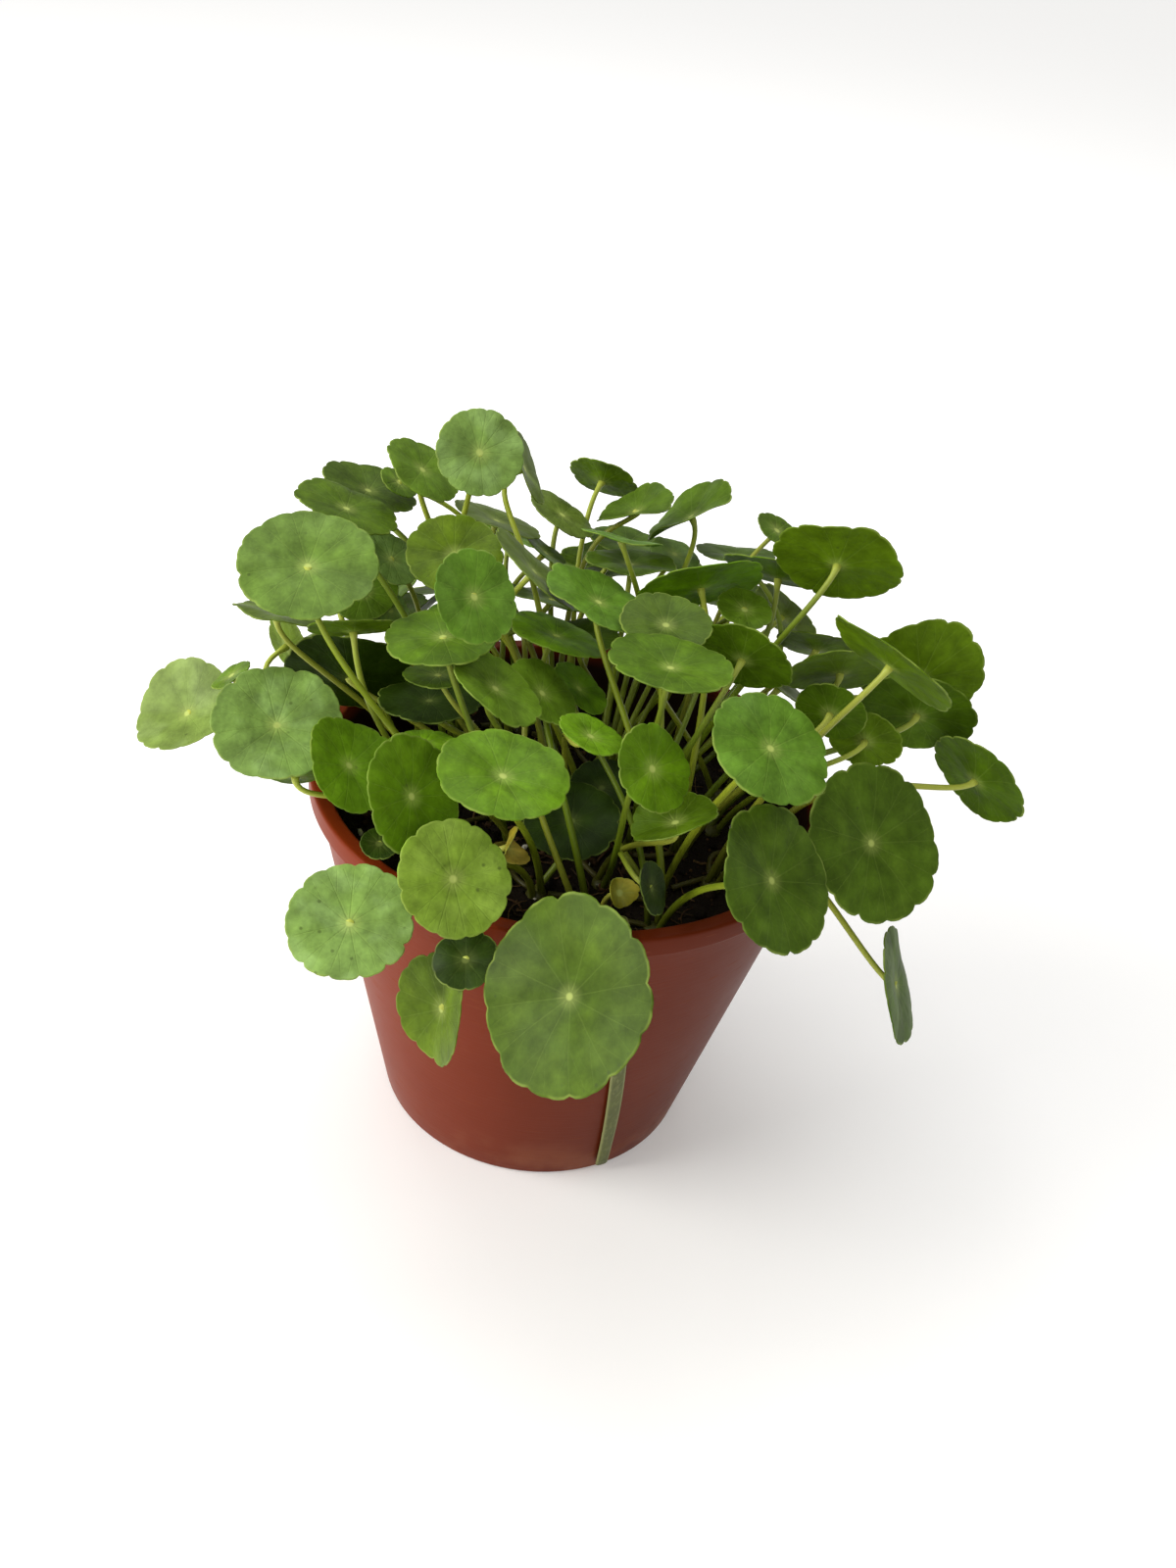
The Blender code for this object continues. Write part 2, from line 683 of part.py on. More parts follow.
def ribbon_solid(path, sides, width, thickness):
    """A flat band swept along a path; sides are the way its width runs at each point."""
    points = []
    faces = []
    along = np.gradient(np.array(path), axis=0)
    for spot, way, side in zip(path, along, sides):
        facing = np.cross(side, way / np.linalg.norm(way))
        for across, out in ((-1, -1), (-1, 1), (1, 1), (1, -1)):
            points.append(spot + side * across * width / 2 + facing * out * thickness / 2)
    for step in range(len(path) - 1):
        for corner in range(4):
            after = (corner + 1) % 4
            low = 4 * step
            faces.append((low + corner, low + after, low + 4 + after, low + 4 + corner))
    faces.append((3, 2, 1, 0))
    last = 4 * (len(path) - 1)
    faces.append((last, last + 1, last + 2, last + 3))
    return points, faces


def make_spent_stalk():
    """The old stalk as its own piece."""
    path, sides = spent_stalk_path()
    points, faces = ribbon_solid(path, sides, SPENT_WIDTH, SPENT_THICKNESS)
    mesh_object("spent_stalk", points, faces, SPENT_GREEN, 0.6)


def clear_scene():
    """Start from an empty scene."""
    for thing in list(bpy.data.objects):
        bpy.data.objects.remove(thing, do_unlink=True)


def is_closed(mesh):
    """True if every edge has exactly two faces and no edge joins two skins."""
    checked = bmesh.new()
    checked.from_mesh(mesh)
    closed = all(edge.is_manifold for edge in checked.edges)
    checked.free()
    return closed


def fuse(body, parts):
    """Join the parts to the body with one Boolean union, then remove them."""
    group = bpy.data.collections.new(body.name + "_parts")
    bpy.context.scene.collection.children.link(group)
    for part in parts:
        bpy.context.scene.collection.objects.unlink(part)
        group.objects.link(part)
    union = body.modifiers.new("fuse", "BOOLEAN")
    union.operation = "UNION"
    union.operand_type = "COLLECTION"
    union.collection = group
    for solver in ("EXACT", "MANIFOLD"):
        union.solver = solver
        bpy.context.view_layer.update()
        scene_now = bpy.context.evaluated_depsgraph_get()
        joined = bpy.data.meshes.new_from_object(body.evaluated_get(scene_now))
        if is_closed(joined):
            break
    body.modifiers.remove(union)
    body.data = joined
    for part in parts:
        bpy.data.objects.remove(part, do_unlink=True)
    bpy.data.collections.remove(group)


def make_tuft(number, crown, members, courses):
    """One crown and the leaves that grow from it, as one solid."""
    points, faces = crown_solid(crown)
    body = mesh_object(f"tuft_{number:02d}", points, faces, LEAF_GREEN, 0.45)
    parts = []
    for leaf in members:
        points, faces = leaf_solid(leaf, courses[leaf.number])
        parts.append(mesh_object(f"leaf_{leaf.number:03d}", points, faces, LEAF_GREEN, 0.45))
    fuse(body, parts)


def turned(name, profile, sides, colour, roughness):
    """A closed solid turned round the pot's axis from (radius, height) points, bottom to top outside."""
    points = []
    faces = []
    rings = []
    for reach, level in profile:
        if reach == 0:
            rings.append([len(points)])
            points.append((0, 0, level))
        else:
            rings.append(list(range(len(points), len(points) + sides)))
            for side in range(sides):
                angle = side * FULL_TURN / sides
                points.append((reach * math.cos(angle), reach * math.sin(angle), level))
    for low, high in zip(rings[:-1], rings[1:]):
        for side in range(sides):
            after = (side + 1) % sides
            if len(low) == 1:
                faces.append((low[0], high[after], high[side]))
            elif len(high) == 1:
                faces.append((low[side], low[after], high[0]))
            else:
                faces.append((low[side], low[after], high[after], high[side]))
    return mesh_object(name, points, faces, colour, roughness)


def wall_radius(level):
    """Outer radius of the tub below its lip."""
    top = LIP_RADIUS - LIP_PROUD
    return BASE_RADIUS + (top - BASE_RADIUS) * level / (POT_HEIGHT - LIP_DEPTH)


def cut(body, cutters):
    """Take the cutters out of the body, then remove them."""
    group = bpy.data.collections.new(body.name + "_cutters")
    bpy.context.scene.collection.children.link(group)
    for cutter in cutters:
        bpy.context.scene.collection.objects.unlink(cutter)
        group.objects.link(cutter)
    difference = body.modifiers.new("cut", "BOOLEAN")
    difference.operation = "DIFFERENCE"
    difference.operand_type = "COLLECTION"
    difference.collection = group
    difference.solver = "EXACT"
    bpy.context.view_layer.objects.active = body
    body.select_set(True)
    bpy.ops.object.modifier_apply(modifier=difference.name)
    body.select_set(False)
    for cutter in cutters:
        bpy.data.objects.remove(cutter, do_unlink=True)
    bpy.data.collections.remove(group)


def drill(name, x, y, low, high, radius, sides):
    """An upright prism that cuts a hole."""
    points = []
    for level in (low, high):
        for side in range(sides):
            angle = side * FULL_TURN / sides
            points.append((x + radius * math.cos(angle), y + radius * math.sin(angle), level))
    faces = [tuple(range(sides))[::-1], tuple(range(sides, 2 * sides))]
    for side in range(sides):
        after = (side + 1) % sides
        faces.append((side, after, sides + after, sides + side))
    cutter = mesh_object(name, points, faces, (1, 0, 0), 1)
    cutter.hide_render = True
    cutter.display_type = "WIRE"
    return cutter


def mouth_radius():
    """Inner radius of the tub at its lip."""
    return LIP_RADIUS - LIP_PROUD - WALL + SEAT_GAP


def make_pot():
    """The tub, its lip and the drain holes in its floor."""
    lip_low = POT_HEIGHT - LIP_DEPTH
    profile = [(0, 0), (BASE_RADIUS - BASE_ROUND, 0), (BASE_RADIUS, BASE_ROUND),
               (wall_radius(lip_low), lip_low - 0.6), (LIP_RADIUS, lip_low),
               (LIP_RADIUS, POT_HEIGHT - LIP_ROUND), (LIP_RADIUS - LIP_ROUND, POT_HEIGHT),
               (mouth_radius(), POT_HEIGHT), (wall_radius(FLOOR) - WALL, FLOOR), (0, FLOOR)]
    pot = turned("pot", profile, POT_SIDES, POT_COLOUR, 0.45)
    holes = []
    for step in range(DRAIN_HOLES):
        angle = step * FULL_TURN / DRAIN_HOLES
        x = DRAIN_CIRCLE * math.cos(angle)
        y = DRAIN_CIRCLE * math.sin(angle)
        holes.append(drill(f"drain_{step}", x, y, -DRILL_SPARE, FLOOR + DRILL_SPARE,
                           DRAIN_RADIUS, DRAIN_SIDES))
    cut(pot, holes)


def make_soil(crowns):
    """The plug of soil, with a plain hole for each crown."""
    floor_radius = wall_radius(FLOOR) - WALL
    facet = math.cos(math.pi / POT_SIDES)

    def soil_radius(level):
        share = (level - FLOOR) / (POT_HEIGHT - FLOOR)
        return (floor_radius + (mouth_radius() - floor_radius) * share - 2 * SEAT_GAP) * facet

    low = FLOOR + SEAT_GAP
    profile = [(0, low), (soil_radius(low), low), (soil_radius(SOIL_TOP), SOIL_TOP), (0, SOIL_TOP)]
    soil = turned("soil", profile, SOIL_SIDES, SOIL_COLOUR, 0.9)
    bottom = SOIL_TOP - HOLE_DEPTH
    top = SOIL_TOP + DRILL_SPARE
    holes = []
    for number, crown in enumerate(crowns):
        holes.append(drill(f"hole_{number}", crown[0], crown[1], bottom, top, HOLE_RADIUS, HOLE_SIDES))
    path, _ = spent_stalk_path()
    root = path[0]
    holes.append(drill("hole_spent", root[0], root[1], bottom, top, SPENT_HOLE, SPENT_HOLE_SIDES))
    cut(soil, holes)


def main():
    clear_scene()
    leaves = grow_leaves()
    crowns = place_crowns()
    owner = share_out(leaves, crowns)
    courses = route_stalks(leaves, crowns, owner)
    leaves = [leaf for leaf in leaves if leaf.number in courses]
    used = sorted({owner[leaf.number] for leaf in leaves})
    make_pot()
    make_soil([crowns[k] for k in used])
    make_spent_stalk()
    for number, crown in enumerate(used):
        members = [leaf for leaf in leaves if owner[leaf.number] == crown]
        make_tuft(number + 1, crowns[crown], members, courses)
    print("leaves", len(leaves), "tufts", len(used))


main()
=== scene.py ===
# %% [markdown]
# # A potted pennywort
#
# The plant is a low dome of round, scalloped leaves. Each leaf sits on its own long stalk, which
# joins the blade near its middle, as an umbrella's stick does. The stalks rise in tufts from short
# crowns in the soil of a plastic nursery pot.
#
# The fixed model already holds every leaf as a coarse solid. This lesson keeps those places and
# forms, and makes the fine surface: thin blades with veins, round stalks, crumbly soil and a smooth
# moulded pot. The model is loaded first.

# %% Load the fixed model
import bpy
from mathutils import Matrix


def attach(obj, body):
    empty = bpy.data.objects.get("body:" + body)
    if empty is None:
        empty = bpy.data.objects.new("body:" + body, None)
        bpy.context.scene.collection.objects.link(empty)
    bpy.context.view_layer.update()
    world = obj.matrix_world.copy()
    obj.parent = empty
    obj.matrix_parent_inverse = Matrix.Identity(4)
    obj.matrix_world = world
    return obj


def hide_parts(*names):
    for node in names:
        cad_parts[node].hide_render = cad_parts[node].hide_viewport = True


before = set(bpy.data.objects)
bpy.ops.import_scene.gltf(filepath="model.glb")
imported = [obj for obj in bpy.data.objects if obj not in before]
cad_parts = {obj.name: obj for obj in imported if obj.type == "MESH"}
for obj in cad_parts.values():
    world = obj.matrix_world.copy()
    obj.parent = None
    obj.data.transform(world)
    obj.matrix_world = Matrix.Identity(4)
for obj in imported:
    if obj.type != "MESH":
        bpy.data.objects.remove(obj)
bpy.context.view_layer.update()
print("nodes in the fixed model:", len(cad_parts))

# %% [markdown]
# Numpy joins Blender's own libraries here. It works on whole rings of points at a time, which keeps a
# hundred fine leaves quick. A k-d tree, which comes with Blender, finds the nearest stalk to a point.
# Lengths below are millimetres, because a leaf is easier to think of that way. One factor turns them
# into Blender's metres when a mesh is made.

# %% Libraries and units
import math
import random
from itertools import product

import bmesh
import bpy
import numpy as np
from mathutils import Matrix, Vector, noise
from mathutils.kdtree import KDTree

MM = 0.001
FULL_TURN = 2 * math.pi


def srgb(red, green, blue):
    """A colour as screens give it, 0 to 255, turned into the linear values that shaders use."""
    shares = np.array([red, green, blue]) / 255
    linear = np.where(shares <= 0.04045, shares / 12.92, ((shares + 0.055) / 1.055) ** 2.4)
    return tuple(float(value) for value in linear)


def ring_turns(count):
    """Even angles round a ring."""
    return np.arange(count) * FULL_TURN / count


print("mid green in linear values:", [round(value, 3) for value in srgb(88, 130, 46)])

# %% [markdown]
# The camera looks down on the pot at about 35 degrees and is rolled a little, as a phone held in one
# hand is. Its place was found from the two ellipses of the pot, the rim and the base. It could be
# given as a matrix of numbers, but a distance, an elevation and a roll say what it does.

# %% Camera
CAMERA_DISTANCE = 468
CAMERA_ELEVATION = math.radians(34.5)
CAMERA_ROLL = math.radians(8.4)
CAMERA_LENS = 36
CAMERA_SENSOR = 36
CAMERA_NEAREST = 0.01
AIM_HEIGHT = 90
AIM_SHIFT = (7.7, 18.1)


def make_camera():
    """A camera that aims at the middle of the plant from the front."""
    ahead = Vector((0, math.cos(CAMERA_ELEVATION), -math.sin(CAMERA_ELEVATION)))
    level_right = Vector((1, 0, 0))
    level_up = level_right.cross(ahead)
    right = math.cos(CAMERA_ROLL) * level_right + math.sin(CAMERA_ROLL) * level_up
    up = math.cos(CAMERA_ROLL) * level_up - math.sin(CAMERA_ROLL) * level_right
    aim = Vector((0, 0, AIM_HEIGHT)) + AIM_SHIFT[0] * right + AIM_SHIFT[1] * up
    camera = bpy.data.objects.new("camera", bpy.data.cameras.new("camera"))
    bpy.context.scene.collection.objects.link(camera)
    turn = Matrix((right, up, -ahead)).transposed().to_4x4()
    camera.matrix_world = Matrix.Translation((aim - CAMERA_DISTANCE * ahead) * MM) @ turn
    camera.data.lens = CAMERA_LENS
    camera.data.sensor_width = CAMERA_SENSOR
    camera.data.clip_start = CAMERA_NEAREST
    bpy.context.scene.camera = camera
    return camera


camera = make_camera()
print("camera stands at", [round(value, 3) for value in camera.location])

# %% [markdown]
# A window on the left lights the plant. Its light is broad and soft, so a large area lamp stands in
# for it. A pale ceiling gives the blades their bluish sheen from above and behind, and a weaker lamp
# in front stands for the rest of the room. A faint glow from all round keeps the shadows among the
# stalks from going black. The pot's right side is left dark on purpose. The picture is shown with
# plain Standard colours, because the filmic ones would wash out the greens.

# %% Light, floor and colour
FLOOR_COLOUR = srgb(242, 241, 240)
FLOOR_ROUGHNESS = 0.8
FLOOR_SIZE = 14
LAMPS = (
    # name, place in metres, size, watts, colour
    ("window", (-0.95, -0.36, 0.66), 0.75, 13.0, (1.0, 0.99, 0.96)),
    ("ceiling", (-0.15, 0.45, 1.25), 1.1, 9.5, (0.98, 0.99, 1.0)),
    ("room", (0.15, -1.1, 0.85), 0.9, 3.4, (1.0, 0.99, 0.97)),
)
LAMP_AIM = (0, 0, 0.12)
GLOW = (1.0, 0.99, 0.96)
GLOW_STRENGTH = 0.42
# the floor's own light grows with the distance from the pot, which is given in metres
FLOOR_GLOW = {"From Min": 0.15, "From Max": 0.8, "To Min": 0.15, "To Max": 0.50}


def make_lamp(name, place, size, watts, colour):
    """A square area lamp that faces the middle of the plant."""
    lamp = bpy.data.lights.new(name, "AREA")
    lamp.shape = "SQUARE"
    lamp.size = size
    lamp.energy = watts
    lamp.color = colour
    holder = bpy.data.objects.new(name, lamp)
    bpy.context.scene.collection.objects.link(holder)
    holder.location = place
    toward = Vector(LAMP_AIM) - Vector(place)
    holder.rotation_euler = toward.to_track_quat("-Z", "Y").to_euler()


def make_floor():
    """A wide pale floor, lit by itself further off. It isn't part of the plant."""
    bpy.ops.mesh.primitive_plane_add(size=FLOOR_SIZE)
    floor = bpy.context.object
    floor.name = "floor"
    paint = bpy.data.materials.new("floor")
    paint.use_nodes = True
    nodes = paint.node_tree.nodes
    links = paint.node_tree.links
    shader = nodes["Principled BSDF"]
    shader.inputs["Base Color"].default_value = (*FLOOR_COLOUR, 1)
    shader.inputs["Roughness"].default_value = FLOOR_ROUGHNESS
    shader.inputs["Emission Color"].default_value = (1, 1, 1, 1)
    length = nodes.new("ShaderNodeVectorMath")
    length.operation = "LENGTH"
    links.new(nodes.new("ShaderNodeNewGeometry").outputs["Position"], length.inputs[0])
    growth = nodes.new("ShaderNodeMapRange")
    for name, value in FLOOR_GLOW.items():
        growth.inputs[name].default_value = value
    links.new(length.outputs["Value"], growth.inputs["Value"])
    links.new(growth.outputs["Result"], shader.inputs["Emission Strength"])
    floor.data.materials.append(paint)


def make_glow():
    """A weak even light from everywhere."""
    world = bpy.data.worlds.new("glow")
    world.use_nodes = True
    background = world.node_tree.nodes["Background"]
    background.inputs["Color"].default_value = (*GLOW, 1)
    background.inputs["Strength"].default_value = GLOW_STRENGTH
    bpy.context.scene.world = world


for lamp_row in LAMPS:
    make_lamp(*lamp_row)
make_floor()
make_glow()
bpy.context.scene.view_settings.view_transform = "Standard"
print("lamps:", [row[0] for row in LAMPS])

# %% [markdown]
# Every leaf that shows from the front was placed from the photograph. A row gives the middle
# of the blade, its radius, how far it leans from level and towards which side, how it curls, and
# the name of its green. The rows are the same as those of the fixed model, so each blade lands on
# its solid. The tone is the only thing that is new. It is partly the leaf's own green, since young
# ones are yellowish and undersides olive, and partly painted light: the darker greens paint the
# shade on leaves that lie in shadow, and the pale bluish ones paint a sheen.

# %% Leaf table
FLAT = (0.0, 0)
LEAVES = [
    # the crown of the canopy, from left to right
    (-37, 23, 200, 12, 60, 290, FLAT, "pale"),
    (-25, 38, 191, 11, 60, 5, FLAT, "grey"),
    (-53, 30, 190, 12, 30, 350, FLAT, "mid"),
    (-61, 38, 181, 6, 30, 350, FLAT, "mid"),
    (-69.5, 38, 178, 14, 15, 5, FLAT, "shaded"),
    (-70.5, 12, 184, 14, 15, 15, FLAT, "olive"),
    (-32, 39, 174, 13, 20, 45, FLAT, "grey"),
    (-14, 55, 171, 11, 25, 5, FLAT, "grey"),
    (-4, 75, 175, 11, 50, 75, FLAT, "under"),
    (7, 50, 178, 12, 25, 170, (0.25, 80), "dark"),
    (23, 59, 175, 15, 40, 170, (0.25, 80), "dark"),
    (6, 70, 158, 13, 10, 55, FLAT, "dark"),
    (8, 40, 166, 13, 10, 105, FLAT, "dark"),
    (21, 60, 161, 8, 15, 335, FLAT, "pale"),
    (39, 60, 164, 12, 15, 105, FLAT, "dark"),
    (27.5, 20, 172.5, 18, 50, 115, FLAT, "fresh"),
    (50, 30, 174, 16, 38, 80, FLAT, "mid"),
    (62, 6, 192, 17, 60, 80, FLAT, "under"),
    (49, 50, 178, 7, 25, 340, FLAT, "dark"),
    # the right-hand side, where most leaves turn their undersides to the front
    (93.5, 16, 156, 17.5, 82, 85, (0.2, 30), "under"),
    (76, -30, 184, 18, 45, 45, FLAT, "under"),
    (94, 9, 148, 16, 72, 80, FLAT, "dark"),
    (112.5, -5, 138, 16, 65, 45, FLAT, "dark"),
    (78, -55, 146, 20, 50, 305, FLAT, "dark"),
    (52, -80, 149, 18, 45, 325, FLAT, "dark"),
    (47, -60, 173, 16, 25, 315, FLAT, "blue"),
    (21, -37, 178, 16, 5, 85, FLAT, "clear"),
    (19, -13.5, 176.4, 12, 10, 270, FLAT, "shaded"),
    (41, 15, 169, 8, 15, 295, FLAT, "mid"),
    (41, -10, 168, 14, 62, 70, FLAT, "dark"),
    (68, 0, 163, 15, 52, 105, FLAT, "under"),
    (66, 35, 150, 12, 45, 85, FLAT, "under"),
    (67, -10, 155, 10, 75, 75, FLAT, "dark"),
    (79, -5, 145, 10, 80, 75, FLAT, "under"),
    (92, -65, 110, 15, 65, 350, FLAT, "dark"),
    # the middle
    (1, -3, 175, 15, 18, 5, FLAT, "blue"),
    (-9, -3, 163, 14, 17, 40, FLAT, "fresh"),
    (-17, 5, 177, 15, 40, 20, FLAT, "grey"),
    (-17, 42, 164, 8, 35, 20, FLAT, "dark"),
    (-13, 30, 156, 13, 20, 70, FLAT, "dark"),
    (-40, 7, 177, 13, 31, 270, FLAT, "lime"),
    (-29, -34, 187, 12, 47, 315, FLAT, "blue"),
    (-37, -30, 173, 15, 10, 190, FLAT, "clear"),
    (-21, -40, 166, 13, 28, 0, FLAT, "mid"),
    (-10, -23, 156, 11, 32, 350, FLAT, "mid"),
    (4, -45, 159, 9, 16, 20, FLAT, "fresh"),
    (-1, -5, 148, 9, 32, 355, FLAT, "fresh"),
    (20, -65, 165, 11, 50, 320, FLAT, "vivid"),
    (27, -65, 151, 11, 22, 170, (0.3, 120), "olive"),
    (-15, -70, 161, 16, 12, 325, FLAT, "vivid"),
    (-36, -68, 149, 15, 53, 330, FLAT, "vivid"),
    (-55, -50, 143, 14, 37, 340, (0.25, 40), "fresh"),
    (-38, -45, 149, 9, 8, 135, FLAT, "fresh"),
    # the left-hand side
    (-73, -24, 184, 18, 22, 283, FLAT, "dull"),
    (-59, 20, 166, 9, 30, 330, FLAT, "pale"),
    (-62, -18, 164, 12, 40, 110, FLAT, "under"),
    (-84, -10, 161, 12, 22, 75, FLAT, "grey"),
    (-85, 10, 139, 10, 80, 50, FLAT, "grey"),
    (-77, -38, 144, 17, 28, 283, FLAT, "pale"),
    (-72, -38, 129, 10, 50, 100, FLAT, "dark"),
    (-108, -16, 128.5, 15, 35, 230, (0.35, 40), "cream"),
    (-94, -20, 145, 6, 35, 180, FLAT, "mid"),
    (-66, 0, 139, 18.5, 65, 100, FLAT, "deep"),
    (-38, -25, 158, 9, 10, 120, FLAT, "olive"),
    (-41, -15, 144, 14, 6, 135, FLAT, "deep"),
    (-58, 17, 151, 6, 35, 315, FLAT, "pale"),
    (-66, 17, 156, 10, 30, 275, FLAT, "dark"),
    # leaves that lean out over the lip, and small ones low down among the stalks
    (6.8, -105.6, 126.3, 23.4, 55, 227, FLAT, "shaded"),
    (-47, -87, 123, 15.5, 25, 278, FLAT, "pale"),
    (-23, -85, 139, 14, 50, 295, FLAT, "pale_lime"),
    (-23.4, -92, 103.4, 14, 75, 218, (0.3, 100), "lime"),
    (-18, -91, 120, 8, 30, 250, FLAT, "deep"),
    (2, -32, 123, 13, 22, 260, FLAT, "deep"),
    (-46, -55, 123, 5, 16, 273, FLAT, "deep"),
    (25, -62, 127, 7, 59, 345, FLAT, "deep"),
    (9, -6, 117, 10, 20, 255, FLAT, "deep"),
    # two withered ones near the soil
    (17, -57, 120, 4, 50, 300, (0.9, 90), "withered_yellow"),
    (-13, -50, 124, 5, 65, 0, (0.9, 0), "withered_tan"),
]
# painted light: these greens follow how bright each leaf looks where it stands, so the darker ones also
# paint the shade on leaves in shadow, and the pale bluish ones paint a sheen
TONES = {
    "blue": srgb(82, 116, 30),
    "grey": srgb(86, 104, 36),
    "mid": srgb(86, 114, 22),
    "olive": srgb(68, 92, 4),
    "under": srgb(82, 106, 16),
    "dark": srgb(66, 90, 12),
    "deep": srgb(36, 54, 4),
    "fresh": srgb(98, 136, 18),
    "lime": srgb(79, 101, 7),
    "clear": srgb(74, 103, 7),
    "vivid": srgb(84, 118, 10),
    "pale": srgb(112, 140, 66),
    "dull": srgb(88, 114, 40),
    "cream": srgb(110, 130, 60),
    "shaded": srgb(61, 82, 6),
    "pale_lime": srgb(118, 146, 44),
    "withered_yellow": srgb(128, 120, 28),
    "withered_tan": srgb(160, 140, 52),
}
print("leaves in the table:", len(LEAVES), "greens:", len(TONES))

# %% [markdown]
# A leaf's form follows a short formula, so that every blade can be asked for its height at any
# point: a dished middle over the stalk, a drooping or wavy rim, and a curl for the folded ones. The
# scallops are half waves round the edge, with a notch between each two. The small differences come
# from a random generator that is seeded with the leaf's number, so they never change.

# %% Form of a leaf
NOTCH = 0.038
LOBE_POWER = 0.6
SMALL_RADIUS = 9
SMALL_LOBES = 10
LARGE_LOBES = (12, 13)
RIM_WAVES = 3
WAVE_RANGE = (0.01, 0.035)
DROOP_RANGE = (-0.03, 0.07)
OVAL_RANGE = (0.0, 0.04)
DISH = 0.10
DISH_SHARE = 0.4
CURL_POWER = 1.7
# rings of test points: how many, their share of the radius, and how far the ring is turned
TEST_RINGS = ((8, 0.5, 0.2), (20, 0.999, 0.0))


def lean_direction(lean, toward):
    """The way a blade's upper face looks."""
    tilt = math.radians(lean)
    way = math.radians(toward)
    return np.array([math.sin(tilt) * math.cos(way), math.sin(tilt) * math.sin(way), math.cos(tilt)])


def relative_height(form, away, angle, side):
    """Height over a blade's flat plane as a share of its radius, for one leaf or for many at once."""
    dish = -DISH * np.exp(-(away / DISH_SHARE) ** 2)
    wave = form.wave * away ** 2 * np.sin(RIM_WAVES * angle + form.wave_turn)
    return dish - form.droop * away ** 2 + wave + form.curl * np.abs(side) ** CURL_POWER


class Leaf:
    """One leaf: where its blade is, how it is turned, and the small differences between leaves."""

    def __init__(self, number, x, y, z, radius, lean, toward, curl, tone):
        self.number = number
        self.middle = np.array([x, y, z], float)
        self.radius = radius
        self.normal = lean_direction(lean, toward)
        way = math.radians(toward)
        self.across = np.array([-math.sin(way), math.cos(way), 0.0])
        self.uphill = np.cross(self.normal, self.across)
        self.curl = curl[0]
        self.curl_angle = math.radians(curl[1])
        self.tone = tone
        draw = random.Random(number)
        self.lobes = SMALL_LOBES if radius < SMALL_RADIUS else draw.choice(LARGE_LOBES)
        self.turn = draw.uniform(0, FULL_TURN)
        self.wave = draw.uniform(*WAVE_RANGE)
        self.wave_turn = draw.uniform(0, FULL_TURN)
        self.droop = draw.uniform(*DROOP_RANGE)
        self.oval = draw.uniform(*OVAL_RANGE)

    def edge(self, angle):
        """Distance from the middle to the scalloped edge."""
        lobe = np.abs(np.sin(self.lobes * (angle - self.turn) / 2)) ** LOBE_POWER
        uneven = 1 + self.oval * np.sin(2 * angle + self.wave_turn)
        return self.radius * uneven * (1 - NOTCH * (1 - lobe))

    def height(self, u, v):
        """How far the blade stands above its flat plane at points of that plane."""
        away = np.hypot(u, v) / self.radius
        side = (v * math.cos(self.curl_angle) - u * math.sin(self.curl_angle)) / self.radius
        return self.radius * relative_height(self, away, np.arctan2(v, u), side)

    def place(self, u, v, rise):
        """Points in space from points of the blade's plane and heights over it."""
        return (self.middle + np.outer(u, self.across) + np.outer(v, self.uphill)
                + np.outer(rise, self.normal))

    def rough_points(self):
        """A few points over the blade, to test what is near it."""
        reach = [np.zeros(1)]
        angle = [np.zeros(1)]
        for count, share, turn in TEST_RINGS:
            reach.append(np.full(count, share * self.radius))
            angle.append(turn + ring_turns(count))
        reach = np.concatenate(reach)
        angle = np.concatenate(angle)
        u = reach * np.cos(angle)
        v = reach * np.sin(angle)
        return self.place(u, v, self.height(u, v))


leaves = [Leaf(number, *row) for number, row in enumerate(LEAVES)]
largest = max(leaves, key=lambda leaf: leaf.radius)
print("the largest leaf has", largest.lobes, "lobes and is", 2 * largest.radius, "mm across")

# %% [markdown]
# The photograph doesn't show the back of the plant, but a plant has one. Two dozen more leaves are
# drawn at random under the same low dome, and a draw is kept only where it stays clear of every
# blade that is already there. Measuring those gaps for all blades at once is what the Canopy is for.

# %% Leaves round the back
BACK_LEAVES = 24
BACK_SEED = 7
BACK_TRIES = 6000
BACK_CLEARANCE = 3.5
BACK_SPACING = 7
BACK_BEGINS = 12
BACK_LOWEST = 106
BACK_LIP_REACH = 56
BACK_LIP_RISE = 23
BACK_FOOT_SHARE = 0.6
BACK_BEARINGS = (-5, 185)
BACK_REACHES = (20, 116)
BACK_RADII = (9, 17)
BACK_DEPTHS = (3, 42)
BACK_LEANS = (12, 50, 75)
BACK_LEAN_SWING = 15
BACK_TURN_SWING = 50
BACK_CURLS = (0.0, 0.0, 0.2)
BACK_TONE_SEED = 500
DOME_FOOT = 112
DOME_RISE = 78
DOME_RADIUS = 128
# painted shade: back leaves low in the canopy take darker greens, the upper ones paler and bluer
HIGH_TONES = ("mid", "blue", "fresh", "pale", "mid", "blue")
LOW_SHADED_TONES = ("dark", "olive", "grey", "mid")
HIGH_FROM = 150
TINY = 1e-6


class Canopy:
    """Several blades together, to measure how near points come to them."""

    FORM = ("middle", "across", "uphill", "normal", "radius",
            "curl", "curl_angle", "wave", "wave_turn", "droop")

    def __init__(self, members):
        for name in self.FORM:
            setattr(self, name, np.array([getattr(leaf, name) for leaf in members], float))

    def gaps(self, points):
        """Distance from each point (rows) to each blade (columns)."""
        offset = points[:, None, :] - self.middle[None]
        u = np.einsum("ijk,jk->ij", offset, self.across)
        v = np.einsum("ijk,jk->ij", offset, self.uphill)
        h = np.einsum("ijk,jk->ij", offset, self.normal)
        away = np.hypot(u, v) / self.radius
        inside = np.minimum(away, 1)
        scale = inside / np.maximum(away, TINY)
        side = scale * (v * np.cos(self.curl_angle) - u * np.sin(self.curl_angle)) / self.radius
        shape = relative_height(self, inside, np.arctan2(v, u), side)
        past = np.maximum(away - 1, 0) * self.radius
        return np.hypot(past, h - self.radius * shape)


